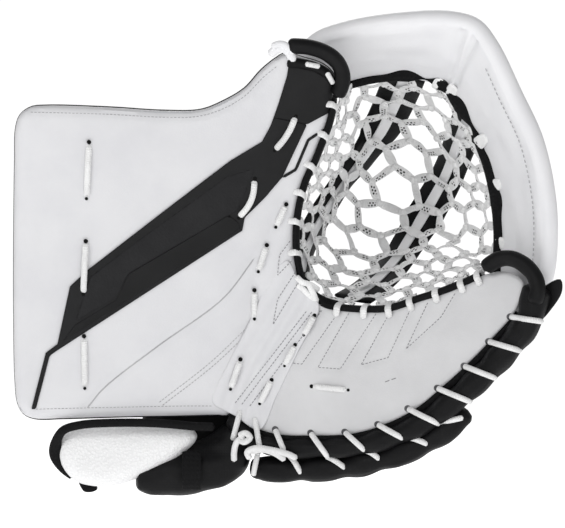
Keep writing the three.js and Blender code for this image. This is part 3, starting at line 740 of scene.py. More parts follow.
# ---- Cuff board ----
def cuff_board():
    # The cuff board's white carries painted shade: it is darker than WHITE.
    board = panel(
        "cuff_board", BOARD_OUTLINE, board_y, 0, BOARD_DEPTH, CUFF_SHADED_WHITE, edge=BOARD_EDGE, step=2.6,
        relief=board_relief,
    )
    finish_piece(board, "thumb_side", ["cuff_front_cover"])
    back = panel(
        "cuff_back_panel", BOARD_OUTLINE, board_y, BOARD_DEPTH + BACK_GAP, BOARD_BACK, BLACK,
        edge=0.8, step=5,
        rear=lambda x, z, d: 1.2 * (1 - np.exp(-d / 12)) + 0.7 * ripple(x, z, 30, 2.0),
    )
    finish_piece(back, "thumb_side", ["cuff_back_cover"])
    welt_line = spaced(shifted(BOARD_RING, -0.3, True), board_y, BOARD_DEPTH)
    hand_over(
        "cuff_back_welt", [sweep(welt_line, oval(1.6, 1.6, 8), closed=True)], BLACK,
        "thumb_side",
    )
    rows = [TOP_SEAM, CUFF_DOUBLE, shifted(curve(CUFF_DOUBLE, 4), 3.0), LOW_SEAM]
    hand_over("cuff_stitching", stitched(rows, board_skin), PALE_THREAD, "thumb_side")
    line = spaced(curve(CUFF_CREASE, 2), board_skin, -0.1)
    hand_over(
        "cuff_panel_seam", [sweep(line, oval(0.5, 0.4, 8), tip=2)], PALE_THREAD,
        "thumb_side",
    )
    rear_rows = [shifted(BOARD_RING, -5.0, True), shifted(BOARD_RING, -8.0, True)]
    behind = stitched(rear_rows, lambda x, z: board_y(x, z) + BOARD_BACK + 0.9, pitch=5, lift=-0.3)
    hand_over("cuff_back_stitching", behind, THREAD, "thumb_side")


STRIPE_OUTLINE = [
    (-6, 98), (-8.3, 92), (-13.8, 82), (-35.4, 69), (-79, 36), (-131, -4), (-143, -15), (-152, -54),
    (-160, -60), (-170.4, -98.5), (-167.3, -98.5), (-157.3, -62), (-153, -59), (-27, 22.5), (-25.5, 31),
    (-11.4, 45), (0, 58.4), (16.5, 93.5),
]
STRIPE_INSET = [
    (-139, -38), (-129.5, -9), (-97, 15.5), (-37, 58.5), (-18, 64.5), (-30, 36), (-103, -6), (-112, -22),
]
STRIPE_BAND = [(-149, -53), (-140, -41), (-112, -24), (-104, -7), (-36, 33), (-29, 27.5), (-28, 23.6)]
THUMB_PANEL = [
    (-6, 98), (16.5, 93.5), (32.4, 102), (34.2, 106), (34, 112), (33, 118), (29, 124.5), (21, 129),
    (11, 131), (4, 132.5), (3, 125.7), (-2.5, 108),
]
CHEVRON = [(0, 58.2), (8.9, 63.5), (17.3, 83.3), (30.2, 91.7)]
TIP_CAP = [
    (4, 137), (3.5, 131), (12, 130.5), (21, 128.5), (29, 124), (33, 117.5), (36, 121), (33.5, 128.5),
    (26, 133.5), (15, 137),
]


def dark_panels():
    def pressed(x, z, d):
        return 0.75 * inside(x, z, np.array(STRIPE_INSET)) + 0.25 * ripple(x, z, 14)

    stripe = panel(
        "cuff_stripe_panel_leather", STRIPE_OUTLINE, board_skin, -1.5, 0.3, CHARCOAL, edge=0.7, step=2.0,
        relief=pressed, curved=False,
    )
    finish_piece(stripe, "thumb_side", ["cuff_stripe_panel"])
    for name, outline, front, back, material, edge in (
        ("cuff_stripe_inset", STRIPE_INSET, -1.35, -0.6, RIBBED, 0.4),
        ("cuff_stripe_band", STRIPE_BAND, -1.95, -1.2, GLOSSY, 0.6),
    ):
        layer = panel(
            name, outline, board_skin, front, back, material, edge=edge, step=2.4, curved=False,
            relief=crowned(0.5, 5),
        )
        finish_piece(layer, "thumb_side")
    thumb = panel(
        "thumb_panel_leather", THUMB_PANEL, board_skin, -1.5, 0.3, CHARCOAL, edge=0.7, step=2.0, curved=False,
        relief=crowned(0.8, 6),
    )
    finish_piece(thumb, "thumb_side", ["thumb_panel"])
    line = spaced(resample(CHEVRON, 2.0), board_skin, -0.5)
    hand_over(
        "thumb_chevron_piping", [sweep(line, oval(1.0, 0.7, 8), tip=1.0)], CHARCOAL,
        "thumb_side",
    )
    cap = panel(
        "thumb_tip_cap_leather", TIP_CAP, board_skin, -2.2, 0.5, BLACK, edge=1.2, step=1.8,
        relief=crowned(0.8, 3),
    )
    finish_piece(cap, "thumb_side", ["thumb_tip_cap"])


def thumb_tip():
    flat = [
        (3, 145), (9, 145.3), (18, 144.6), (28.5, 141.2), (36.5, 135), (40, 127), (39, 118), (35.5, 112),
    ]
    line = curve(spaced(flat, board_y), 1.5)
    section = swollen(5.3, 0.25, [(i / 6, 0, 3) for i in range(len(line))])
    hand_over(
        "thumb_tip_roll_leather", [sweep(line, section, tip=4)], BLACK,
        "thumb_side", ["thumb_tip_roll"],
    )
    bars = []
    for (ax, az), (bx, bz) in (((15, 133.5), (25, 131.8)), ((29.5, 128), (34, 120.5))):
        path = curve(spaced([(ax, az), ((ax + bx) / 2, (az + bz) / 2), (bx, bz)], board_skin, -3.4), 1.0)
        path[[0, -1], 1] += 1.6
        bars.append(sweep(path, oval(1.7, 1.2, 10), tip=1.6))
    hand_over("thumb_tip_stitches", bars, LACE, "thumb_side")
    tie = [
        sweep(
            curve(spaced([(-9, 139), (-3, 143.5), (2, 143), (6, 138), (5.5, 132.5)], board_y, -1.5), 1),
            oval(3.0, 1.8, 12), tip=2.5,
        ),
        sweep(
            curve(spaced([(-7.5, 144.5), (-1, 146.5), (4, 144), (6.5, 139)], board_y, -2.5), 1),
            oval(2.4, 1.6, 12), tip=2,
        ),
    ]
    hand_over("thumb_tie_knot", tie, WHITE, "thumb_side", ["thumb_tip_tie"])


CUFF_LACES = {
    "cuff_lace_upper": ([(-129, 80), (-131, 45)], 0.0),
    "cuff_lace_middle": ([(-132, 14), (-134, -19)], 0.0),
    "cuff_lace_lower": ([(-134, -50), (-134, -83)], 0.0),
    "thumb_lace_lower": ([(-19, 56), (-29, 32)], 3.2),
    "thumb_lace_upper": ([(8.4, 98), (-4.6, 77)], 1.6),
    "break_lace_cuff_1": ([(2, 39), (-4, 26)], 0.0),
    "break_lace_cuff_2": ([(-11, 11.5), (-16, -4)], 0.0),
    "break_lace_cuff_3": ([(-19, -19), (-19, -36)], 0.0),
    "break_lace_cuff_4": ([(-29, -66), (-35, -84)], 0.0),
}
PALM_LACES = {
    "palm_center_lace": [(21, -83), (43, -85)],
    "break_lace_palm_1": [(21, -36), (15, -47)],
    "break_lace_palm_2": [(8, -56), (2, -68)],
    "break_lace_palm_3": [(-8, -80), (-15, -94)],
}


def over_break(skin, x, z):
    """A board's surface, or the break leather's where that lies over it."""
    near = np.abs(beyond(x, z)) < BREAK_HALF
    return np.where(near, np.minimum(skin(x, z), break_skin(x, z)), skin(x, z))


def through_laces():
    over_panels = {"thumb_lace_lower", "thumb_lace_upper", "cuff_lace_middle"}
    for name, (ends, bow) in CUFF_LACES.items():
        lift = 1.7 if name in over_panels else 0.0
        skin = lambda x, z, lift=lift: over_break(board_skin, x, z) - lift
        hand_over(
            name + "_cord", [lace_loop(ends, skin, board_y, BOARD_BACK, bow)], LACE,
            "thumb_side", [name],
        )
    ends = [ends for ends, _ in CUFF_LACES.values()]
    holes = make(
        "cuff_lace_hole_shade", hole_shade_discs(ends, lambda x, z: over_break(board_skin, x, z) - 1.6, 1.5), HOLE_SHADE
    )
    finish_piece(holes, "thumb_side")
    for name, ends in PALM_LACES.items():
        skin = lambda x, z: over_break(palm_skin, x, z)
        hand_over(
            name + "_cord", [lace_loop(ends, skin, palm_y, PALM_BACK)], LACE,
            "finger_side", [name],
        )
    holes = make(
        "palm_lace_hole_shade", hole_shade_discs(PALM_LACES.values(), lambda x, z: over_break(palm_skin, x, z), 1.4),
        HOLE_SHADE,
    )
    finish_piece(holes, "finger_side")


# ---- Pocket-side edges ----
def pocket_edge(prefix, line, surface, depth, body, wraps):
    """Black binding round the edge, with the net's lace wrapped over it at each place in wraps."""
    smooth = curve(line, 1.5)
    half = 0.42 * depth
    path = spaced(shifted(smooth, 0.9), surface, half)
    section = oval(2.6, half + 1.4, 16, 0.7)
    hand_over(
        prefix + "_binding_tape", [sweep(path, section, tip=2)], WEB,
        body, [prefix + "_binding"],
    )
    turns = []
    reach = half + 2.6
    for place in wraps:
        k = int(np.argmin(np.hypot(*(smooth - np.array(place)).T)))
        here = smooth[k]
        step = unit(smooth[min(k + 2, len(smooth) - 1)] - smooth[max(k - 2, 0)])
        out = np.array((-step[1], step[0]))
        y0 = float(surface(here[0], here[1])) + half
        loop = []
        for turn in np.linspace(-0.6 * math.pi, 0.6 * math.pi, 15):
            flat = here + out * (4.2 * math.cos(turn) - 0.4) + step * 2.34 * math.sin(turn)
            loop.append((flat[0], y0 + reach * math.sin(turn), flat[1]))
        inner = here - out * 5.5 - step * 2.6
        loop.insert(0, (inner[0], y0 - reach + 1.6, inner[1]))
        path = curve(loop, 1.2)
        middle = np.array((here[0], y0, here[1]))
        turns.append(sweep(path, oval(2.3, 1.1, 10), up=path - middle, tip=1.2))
    hand_over(prefix + "_lace_wraps", turns, LACE, body, [prefix + "_lace"])


def pocket_edges():
    thumb_wraps = [(33, 104), (27, 84), (18, 64.4), (12, 45), (8.6, 26), (8.6, 6)]
    pocket_edge(
        "thumb_pocket", THUMB_EDGE + [(15, -17), (21, -24)], board_y, BOARD_DEPTH, "thumb_side",
        thumb_wraps,
    )
    palm_wraps = [(39.5, -30), (56.4, -31), (73, -30), (88, -26), (104, -20), (121, -13), (132, -8)]
    pocket_edge(
        "palm_pocket", [(26, -27)] + PALM_POCKET_EDGE, palm_y, PALM_DEPTH, "finger_side", palm_wraps
    )
    knots = []
    for path in (
        [(10, -14, -6), (14, -17, -4), (18, -21, -6), (24, -25, -5), (29, -29, -3)],
        [(17, -13, -3), (20, -18, -7), (22, -24, -6), (19, -29, -2)],
        [(9, -8, -2), (13, -12, -6), (19, -14, -5), (25, -18, -1)],
    ):
        line = np.array([(x, board_y(x, z) + y, z) for x, z, y in path])
        knots.append(sweep(curve(line, 1.0), oval(2.0, 1.1, 10), tip=1.5))
    corner = [(12, -9), (17, -17.5), (23, -23), (30, -26.5), (38, -28.5)]
    line = spaced(curve(corner, 1.5), break_skin, 7)
    hand_over(
        "pocket_corner_binding", [sweep(line, oval(3.6, 4.6, 14, 0.8), tip=2)], WEB,
        "blend",
    )
    hand_over("pocket_corner_knots", knots, NET_LACE_LIT, "blend")


# ---- Palm ----
def palm():
    face = panel(
        "palm_face", PALM_OUTLINE, palm_y, 0, PALM_DEPTH, GREY, edge=PALM_EDGE, step=2.3, relief=palm_relief
    )
    finish_piece(face, "finger_side", ["palm_cover"])
    back = panel(
        "palm_back_lining", PALM_OUTLINE, palm_y, PALM_DEPTH + BACK_GAP, PALM_BACK, LINER, edge=0.6, step=5,
        rear=lambda x, z, d: 0.6 * ripple(x, z, 25, 4.0),
    )
    finish_piece(back, "finger_side", ["palm_liner"])
    hand_over(
        "palm_stitching", stitched(RIBS, palm_skin, smooth=False), THREAD,
        "finger_side",
    )
    crease = stitched([[(68.5, -79.5), (79, -75.6)]], palm_skin, pitch=4.5, length=3.0)
    hand_over("palm_crease_stitches", crease, THREAD, "finger_side")


# ---- Break: the soft leather over the fold ----
def break_skin(x, z):
    s = beyond(x, z)
    depth = np.where(s < 0, -BOARD_SLOPE * s, PALM_SLOPE * s + PALM_CURL * s * s)
    wave = 0.5 * np.sin(along(x, z) / 9.0) * np.exp(-((s / 10) ** 2))
    return fold_y(along(x, z)) - np.sqrt(depth**2 + BREAK_ROUND**2) - BREAK_LIFT - wave


def break_leather():
    outline = [
        from_fold(2, 20), from_fold(2, 0), from_fold(3, -18), from_fold(30, -21), from_fold(62, -22),
        from_fold(92, -24), from_fold(112, -20), from_fold(104, -6), from_fold(99, 6), from_fold(96, 14),
        from_fold(60, 17), from_fold(28, 19),
    ]

    def folds(x, z, d):
        s, t = beyond(x, z), along(x, z)
        waves = np.sin(s * 0.55 + 0.03 * t + 1.2 * np.sin(t * 0.045))
        long_folds = 0.9 * waves * np.exp(-((s + 2) / 16) ** 2)
        return long_folds + edge_drop(d, 2.5) * 0.4

    # The break leather takes the cuff board's darker white, with its painted shade.
    sheet = panel(
        "break_leather", outline, break_skin, 0, 1.4, CUFF_SHADED_WHITE, edge=0.8, step=1.8, relief=folds
    )
    finish_piece(sheet, "blend")

    def skin(x, z):
        return break_skin(x, z) + folds(x, z, np.full(np.shape(x), 9.0))

    rows = [
        [(-32.5, -95), (17, -31)], [(-28, -96), (21, -31)], [(-22.5, -97), (27, -31)],
        [(11.5, -11), (-6.4, -41), (-3.4, -24), (9, -5)],
        [(5.4, 16), (-2, 6), (-3.4, -7.6), (7, 3)],
    ]
    hand_over("break_stitching", stitched(rows, skin, smooth=False), THREAD, "blend")
    gusset = panel(
        "break_gusset_cloth", [from_fold(t, s) for t, s in ((4, -16), (4, 8), (80, 8), (84, -16))],
        lambda x, z: fold_y(along(x, z)), 23.3, 25.3, LINER, edge=0.6, step=3,
        rear=lambda x, z, d: 0.4 * ripple(x, z, 12),
    )
    finish_piece(gusset, "pocket", ["break_gusset"])


# ---- Rolls round the palm's edge ----
PALM_ROLL = [
    (170, -14), (167, -24), (163.5, -37), (151, -54.5), (135, -72.5), (116, -90.5), (95.5, -106),
    (72, -116.8), (47.5, -123.4), (20.5, -125), (-4, -124.5), (-22, -118.5), (-36, -104),
]
LOWER_ROLL = [
    (124, -98), (118, -104), (101, -117), (77, -128.5), (50, -136), (24, -139.5), (-2, -140.5),
    (-22, -139.5),
]
ROLL_LACE = oval(1.9, LACE_THICK, 10)
EYELETS = [
    (151, -35), (137, -51.5), (121, -68), (103.5, -83), (84, -97), (64, -108), (42, -113.5), (19, -114.5),
    (-5, -112.5), (-19, -104.5), (-28, -97),
]


def roll(name, line, deeper, wide, narrow, tall, cinches, seed):
    """A padded roll that bulges between the laces tied round it, creased along its length."""
    flat = curve(line, 1.6)
    path = spaced(flat, palm_y, deeper)
    near = np.full(len(flat), 99.0)
    for x, z in cinches:
        near = np.minimum(near, np.hypot(flat[:, 0] - x, flat[:, 1] - z))
    bulge = 0.84 + 0.2 * (1 - np.exp(-((near / 7.0) ** 2)))
    size = np.linspace(0, 1, len(flat))
    radius = (wide + (narrow - wide) * np.minimum(1, 1.4 * size)) * bulge
    sides = 32
    turn = np.linspace(0, 2 * math.pi, sides, endpoint=False)
    section = np.empty((len(flat), sides, 2))
    for i in range(len(flat)):
        crease = np.array(
            [noise.noise(Vector((math.cos(a) * 2.6 + seed, math.sin(a) * 2.6, i * 0.045))) for a in turn]
        )
        fold = 1 - 0.10 * np.abs(crease) ** 0.6 + 0.07
        section[i, :, 0] = radius[i] * fold * np.cos(turn)
        section[i, :, 1] = radius[i] * tall * fold * np.sin(turn)
    return strand(name, [sweep(path, section, tip=5)], NYLON)


def over_roll(start, across, radius):
    """A lace from an eyelet over a roll: start on the palm, across to the far side of the roll."""
    a, b = np.array(start, float), np.array(across, float)
    share = np.linspace(0, 1, 9)
    flat = a + share[:, None] * (b - a)
    hump = np.sin(np.pi * np.clip(share * 0.93, 0, 1)) ** 0.6
    ya = float(palm_skin(a[0], a[1])) - 0.6
    centre = palm_y(flat[:, 0], flat[:, 1]) + PALM_ROLL_DEEP
    top = centre - radius * PALM_ROLL_TALL - LACE_RADIUS * 0.5 - ROLL_GAP
    y = ya + (top - ya) * hump
    y[-1] = centre[-1] + 1.0
    return curve(lifted(flat, y), 1.3)


def rolls():
    """The two rolls, and the places where laces pull them in."""
    waists = [
        (168, -36), (155, -55), (140, -73), (122, -90), (101, -104), (78, -115), (52, -122), (27, -126),
        (0, -125), (-17, -120), (-31, -110),
    ]
    upper = roll(
        "palm_edge_roll_cover", PALM_ROLL, PALM_ROLL_DEEP, 9.6, 6.6, PALM_ROLL_TALL, waists, 1.0
    )
    finish_piece(upper, "finger_side", ["palm_edge_roll"])
    waists = [(120, -102), (97, -120), (66, -132), (42, -138), (12.5, -141), (-18, -140)]
    lower = roll("lower_edge_roll_cover", LOWER_ROLL, LOWER_ROLL_DEEP, 8.2, 8.6, 1.1, waists, 6.0)
    finish_piece(lower, "finger_side", ["lower_edge_roll"])


def perimeter_lace():
    """The lace from each eyelet over the upper roll, on over the lower one, and its knots at the heel."""
    ends = [
        (172, -38), (158, -57.5), (142, -76), (126, -92), (105, -107), (82, -117.5), (56, -126),
        (31, -131), (1.5, -128), (-15, -128), (-34, -120),
    ]
    laces = [
        sweep(over_roll(a, b, 9.0 - 0.28 * k), ROLL_LACE, tip=1.5)
        for k, (a, b) in enumerate(zip(EYELETS, ends))
    ]
    second = [
        [(104, -106), (112, -104.5), (121, -102.5)], [(77, -116.5), (87, -117), (98, -121)],
        [(53, -125), (60, -127.5), (66, -132)], [(29, -130), (36, -133.5), (43, -138.5)],
        [(1, -127), (7, -133), (13, -143)], [(-15.5, -124), (-18, -134), (-20, -145)],
    ]
    for line in second:
        flat = curve(line, 3)
        dip = np.linspace(-1, 1, len(flat)) ** 2
        y = palm_y(flat[:, 0], flat[:, 1]) + LOWER_ROLL_DEEP - 10.8 + 4.0 * dip
        y[0] -= 5.0
        laces.append(sweep(curve(lifted(flat, y), 1.2), ROLL_LACE, tip=1.5))
    knots = [
        [(-30, -117, -13), (-25, -115, -15), (-22, -118, -14), (-26, -121, -15), (-30, -119, -13)],
        [(-26, -117, -14), (-31, -121, -12), (-33, -128, -8), (-33, -135, -6)],
        [(-22, -128, -10), (-14, -126, -14), (-6, -128, -13), (2, -133, -10)],
        [
            (-22, -133, -8), (-24, -128, -12), (-18, -125, -15), (-8, -126, -14), (4, -129, -12),
            (10, -132, -9),
        ],
    ]
    for line in knots:
        path = np.array([(x, palm_y(x, z) + PALM_ROLL_DEEP + y, z) for x, z, y in line])
        laces.append(sweep(curve(path, 1.2), oval(LACE_RADIUS, 1.8, 10), tip=1.5))
    hand_over("perimeter_lace_wraps", laces, LACE, "finger_side", ["perimeter_lace"])


def palm_trim():
    edge = PALM_OUTLINE[14:] + [PALM_OUTLINE[0]]
    line = spaced(shifted(curve(edge, 2.5), 1.5), palm_y, 7)
    hand_over(
        "palm_edge_binding", [sweep(line, oval(4.5, 4.6, 14, 0.8), tip=3)], WEB,
        "finger_side",
    )
    dots = make("palm_eyelets", [disc(x, z, palm_skin, 2.3, 0.2) for x, z in EYELETS], EYELET)
    finish_piece(dots, "finger_side")


def finger_tip():
    flat = [
        (134, -4), (138, 0), (144.5, 3.4), (152, 3.6), (160, -0.5), (166.5, -8), (168.5, -17), (166, -27),
    ]
    path = curve(spaced(flat, palm_y, -5), 1.5)
    section = swollen(5.4, 0.3, [(i / 5, 2, 0) for i in range(len(path))])
    hand_over(
        "finger_tip_roll_leather", [sweep(path, section, tip=4)], BLACK,
        "finger_side", ["finger_tip_roll"],
    )
    backing = panel(
        "finger_tip_backing", [
            (184, -10), (185, -18), (178, -30), (171, -37), (165, -33), (166, -22), (172, -16),
        ],
        palm_y, 6, 13, BLACK, edge=1.5, step=2,
    )
    finish_piece(backing, "finger_side")


# ---- Rim ----
RIM_STATIONS = [
    [(-4, 20, 130), (16, 52, 106)], [(18, 8, 157), (34, 46, 126)], [(42, -4, 166), (54, 40, 135)],
    [(79, -13, 171.5), (80, 36, 138)], [(114, -19, 172), (106, 34, 132)], [(133, -21, 166), (121, 32, 125)],
    [(146, -23, 150), (129, 30, 112)], [(162, -25, 117), (140, 28, 95)], [(176, -28, 86), (149, 26, 73)],
    [(184, -31, 50), (155, 22, 46)], [(186, -31, 20), (157, 18, 18)], [(183, -26, -12), (154, 16, -6)],
    [(171, -9, -36), (146, 24, -22)],
]
RIM_STEPS = 150
RIM_CREASES = [(67, 2.5, 2.4), (57, 3, 1.2)]  # the step, half width in steps and depth of each
RIM_SEWN_FROM = 78  # the first step with stitches along its front edge
TAPE_FROM, TAPE_UNTIL = 8, RIM_STEPS - 4  # the steps that the binding tape covers
TAPE_GAPS = (46, 86)  # where it all but vanishes


def evenly(stations):
    """The line through the stations, read at the same shares of the way between them."""
    dense = []
    p = np.asarray(stations, float)
    fine = curve(p, 0.5)
    marks = [int(np.argmin(np.linalg.norm(fine - q, axis=1))) for q in p]
    spots = np.interp(np.linspace(0, len(p) - 1, RIM_STEPS), np.arange(len(p)), marks)
    for k in range(3):
        dense.append(np.interp(spots, np.arange(len(fine)), fine[:, k]))
    return np.stack(dense, 1)


RIM_OUTER = evenly([a for a, _ in RIM_STATIONS])
RIM_INNER = evenly([b for _, b in RIM_STATIONS])
RIM_WIDE = np.linalg.norm(RIM_INNER - RIM_OUTER, axis=1)
RIM_IN = unit(RIM_INNER - RIM_OUTER)
RIM_OUT = unit(np.cross(unit(np.gradient(RIM_OUTER, axis=0)), RIM_IN))


def rim_place(k, a, b):
    """A point of the rim's section k: a along it from the front edge, b outward from its inner face."""
    return RIM_OUTER[k] + RIM_IN[k] * a + RIM_OUT[k] * (b - RIM_THICK)


def rim_section(width, bumps):
    """The band's section: a crowned inner face, a rounded front edge and a flat back."""
    points = []
    for share in np.linspace(0, 1, 15):
        a = 5 + (width - 8) * share
        points.append((a, -2.0 * math.sin(math.pi * share) ** 0.7 + bumps[int(share * 14)]))
    for turn in np.linspace(-math.pi / 2, math.pi / 2, 7)[1:-1]:
        points.append(
            (width - 3 + 3 * math.cos(turn), RIM_THICK / 2 + (RIM_THICK / 2 - 0.4) * math.sin(turn))
        )
    for share in np.linspace(1, 0, 10):
        points.append((6 + (width - 9) * share, RIM_THICK + 1.2 * math.sin(math.pi * share)))
    for turn in np.linspace(math.pi / 2, 3 * math.pi / 2, 11)[1:-1]:
        points.append((6 + 6.5 * math.cos(turn), RIM_THICK / 2 + RIM_THICK / 2 * math.sin(turn)))
    return points


def rim():
    rings = []
    for k in range(RIM_STEPS):
        crease = sum(deep * math.exp(-(((k - at) / wide) ** 2)) for at, wide, deep in RIM_CREASES)
        bumps = [1.3 * noise.noise(Vector((k / 14, j / 3, 9))) + crease for j in range(15)]
        section = rim_section(RIM_WIDE[k], bumps)
        rings.append([rim_place(k, a, b) for a, b in section])
    rings = np.array(rings)
    faces = tube_faces(*rings.shape[:2])
    band = make("rim_band", [(rings.reshape(-1, 3), faces)], WHITE, sharp_deg=60)
    finish_piece(band, "blend", ["rim_thumb_side", "rim_corner", "rim_finger_side"])
    line = np.array([rim_place(k, 9, -2.1) for k in range(RIM_SEWN_FROM, RIM_STEPS - 3)])
    made = []
    fine = resample(line, 0.5)
    for start in range(0, len(fine) - 5, 7):
        made.append(sweep(fine[start : start + 5 : 2], oval(0.36, 0.3, 6)))
    hand_over("rim_stitching", made, PALE_THREAD, "blend")
    shown = range(TAPE_FROM, TAPE_UNTIL)
    swing = np.array([math.sin(k / 5.5 + 0.6 * math.sin(k / 3.0)) for k in shown])
    path = np.array([rim_place(k, RIM_WIDE[k] - 4.5 - 1.5 * w, -1.0) for k, w in zip(shown, swing)])
    first_gap, second_gap = (
        np.array([math.exp(-(((k - at) / 4) ** 2)) for k in shown]) for at in TAPE_GAPS
    )
    bare = 1 - 0.9 * first_gap - 0.7 * second_gap
    section = scaled(oval(1, 1, 14, 0.8), (5.0 + 1.8 * swing) * bare, 2.6 * bare)
    hand_over(
        "rim_binding_tape", [sweep(path, section, up=-RIM_OUT[TAPE_FROM:TAPE_UNTIL], tip=4)], WEB,
        "blend",
    )


# ---- Pocket: the knotted net and its spines ----
def pocket_loop():
    thumb = spaced(shifted(curve(THUMB_EDGE, 4), 3.0), board_y, BOARD_DEPTH * 0.5)
    palm_side = spaced(shifted(curve(PALM_POCKET_EDGE, 4), 3.0), palm_y, PALM_DEPTH * 0.5)
    rear = np.array([rim_place(k, RIM_WIDE[k] + 1.0, 3.0) for k in range(22, RIM_STEPS - 12, 3)])
    loop = np.vstack([thumb, palm_side, rear])
    dx, dz = loop[:, 0] - POCKET_CENTRE[0], loop[:, 2] - POCKET_CENTRE[1]
    angle, radius = np.arctan2(dz, dx), np.hypot(dx, dz)
    order = np.argsort(angle)
    return angle[order], radius[order], loop[order, 1]


LOOP_ANGLE, LOOP_RADIUS, LOOP_Y = pocket_loop()
SHARES = np.linspace(0, 1, 41)


def bowl(angle, share):
    """A point of the pocket: share goes from its middle (0) to its edge (1)."""
    radius = np.interp(angle, LOOP_ANGLE, LOOP_RADIUS, period=2 * math.pi)
    edge = np.interp(angle, LOOP_ANGLE, LOOP_Y, period=2 * math.pi)
    x = POCKET_CENTRE[0] + np.cos(angle) * radius * share
    z = POCKET_CENTRE[1] + np.sin(angle) * radius * share
    y = POCKET_DEEP + (edge - POCKET_DEEP) * np.asarray(share) ** BOWL_POWER
    return np.stack(np.broadcast_arrays(x, y, z), -1)


def bowl_normal(angle, share):
    """Out of the pocket, to the back."""
    a = bowl(angle, min(1, share + 0.02)) - bowl(angle, max(0.01, share - 0.02))
    b = bowl(angle + 0.1, share) - bowl(angle - 0.1, share)
    n = unit(np.cross(a, b))
    return -n if n[1] < 0 else n


def unrolled(u, v):
    """The bowl's angle and share at a place on the net as if laid flat from its middle; share may pass 1."""
    angle, reach = math.atan2(v, u), math.hypot(u, v)
    run = bowl(np.full(41, angle), SHARES)
    lengths = np.concatenate([[0], np.cumsum(np.linalg.norm(np.diff(run, axis=0), axis=1))])
    if reach > lengths[-1]:
        return angle, 1 + (reach - lengths[-1]) / lengths[-1]
    return angle, float(np.interp(reach, lengths, SHARES))


ACROSS_SPINES = unit(np.array((0.88, -0.475)))
ALONG_SPINES = np.array((-ACROSS_SPINES[1], ACROSS_SPINES[0]))
COLUMN = 30.0  # between the net's columns, across the spines
CELL = 25.5  # between its rows, along them
BRIDGE = 19.0  # the strand that joins two cells' corners
FIRST_COLUMN = -30.0  # the upper spine's place across the pocket


def net_links():
    """The net's strands as pairs of places on the net laid flat."""
    nodes, links = {}, []
    chooser = random.Random(3)
    for i in range(-5, 8):
        for j in range(-8, 9):
            middle = (FIRST_COLUMN + i * COLUMN) * ACROSS_SPINES + (j + 0.5 * (i % 2)) * CELL * ALONG_SPINES
            for end in (-1, 1):
                jitter = np.array((chooser.uniform(-3, 3), chooser.uniform(-3, 3)))
                nodes[i, j, end] = middle + end * BRIDGE / 2 * ACROSS_SPINES + jitter
    for (i, j, end), place in nodes.items():
        if end < 0 and (i, j, 1) in nodes:
            links.append((place, nodes[i, j, 1]))
        if end > 0:
            for step in ((0, -1) if i % 2 == 0 else (0, 1)):
                other = nodes.get((i + 1, j + step, -1))
                if other is not None:
                    links.append((place, other))
    return nodes, links


def net_line(a, b, lift):
    """A strand's path over the bowl, cut off where it passes the edge, and the way up at each point."""
    path, ups = [], []
    for share in np.linspace(0, 1, 9):
        u, v = a + share * (b - a)
        angle, reach = unrolled(u, v)
        if reach > 1.02:
            break
        n = bowl_normal(angle, min(reach, 0.99))
        path.append(bowl(angle, min(reach, 1.0)) - n * lift * math.sin(math.pi * share))
        ups.append(-n)
    return np.array(path), np.array(ups)


def net_strands(links, chooser):
    """The flat laces between the knots, each a little twisted and showing its tracer on one half."""
    strands = []
    for a, b in links:
        if unrolled(*a)[1] > 1.0:
            a, b = b, a
        if unrolled(*a)[1] > 1.0:
            continue
        lift = chooser.uniform(0.3, 1.6)
        path, ups = net_line(a, b, lift)
        if len(path) < 3:
            continue
        fine = resample(path, 1.6)
        first_up = ups[0]
        ups = resample(np.hstack([path, ups]), 1.6)[:, 3:]
        if len(ups) != len(fine):
            ups = np.broadcast_to(first_up, fine.shape)
        share = np.linspace(0, 1, len(fine))
        width = NET_WIDTH * (0.66 + 0.42 * np.sin(np.pi * share) ** 0.8)
        tilt = chooser.uniform(-0.35, 0.35) * np.sin(np.pi * share)
        section = scaled(oval(0.5, 0.5, 12, 0.8), width, np.full(len(fine), NET_THICK))
        cos, sin = np.cos(tilt)[:, None], np.sin(tilt)[:, None]
        wide, tall = section[..., 0], section[..., 1]
        turned = np.stack([wide * cos - tall * sin, wide * sin + tall * cos], -1)
        shown = chooser.random()
        mask = np.where((share > 0.45) if shown < 0.4 else (share < 0.55), 1.0, 0.0)
        if shown > 0.8:
            mask[:] = 0.0
        strands.append(sweep(fine, turned, up=ups, mask=mask))
    return strands


def net_knots(places, chooser):
    """A short turn of lace over each corner of the net's cells."""
    knots = []
    for place in places:
        angle, share = unrolled(*place)
        if share > 0.985:
            continue
        n = bowl_normal(angle, share)
        middle = bowl(angle, share) - n * 0.9
        lean = chooser.uniform(0, math.pi)
        side = unit(np.cross(n, (math.cos(lean), 0.2, math.sin(lean))))
        hump = 0.8 * np.cos(np.linspace(-1.5, 1.5, 7))
        path = middle + side * np.linspace(-3.1, 3.1, 7)[:, None] - n * hump[:, None]
        knots.append(sweep(path, oval(2.3, 1.5, 10, 0.9), up=-n, tip=2.2))
    return knots


NET_ANCHORS = [(52, 15), (66, 17), (92, 20), (108, 20), (126, 16)]  # the rim's step, and how far over it


def net_anchors():
    """The wide laces that tie the net over the rim's back edge."""
    anchors = []
    for k, reach in NET_ANCHORS:
        start = rim_place(k, RIM_WIDE[k] + 4, 2.5)
        over = rim_place(k, RIM_WIDE[k] - 3, -2.2)
        end = rim_place(k, RIM_WIDE[k] - reach + 4, -1.2)
        path = curve([start, over, (over + end) / 2, end], 1.4)
        width = 3.2 + 1.5 * np.sin(np.pi * np.linspace(0, 1, len(path)))
        section = scaled(oval(1, 1, 12, 0.8), width, np.full(len(path), 1.1))
        mask = np.linspace(1, 0, len(path)) > 0.5
        anchors.append(sweep(path, section, up=-RIM_OUT[k], tip=2.0, mask=mask))
    return anchors


def net():
    nodes, links = net_links()
    chooser = random.Random(11)
    strands = net_strands(links, chooser) + net_knots(nodes.values(), chooser) + net_anchors()
    hand_over("pocket_net_lace", strands, NET_LACE_LIT, "blend", ["pocket_net"])


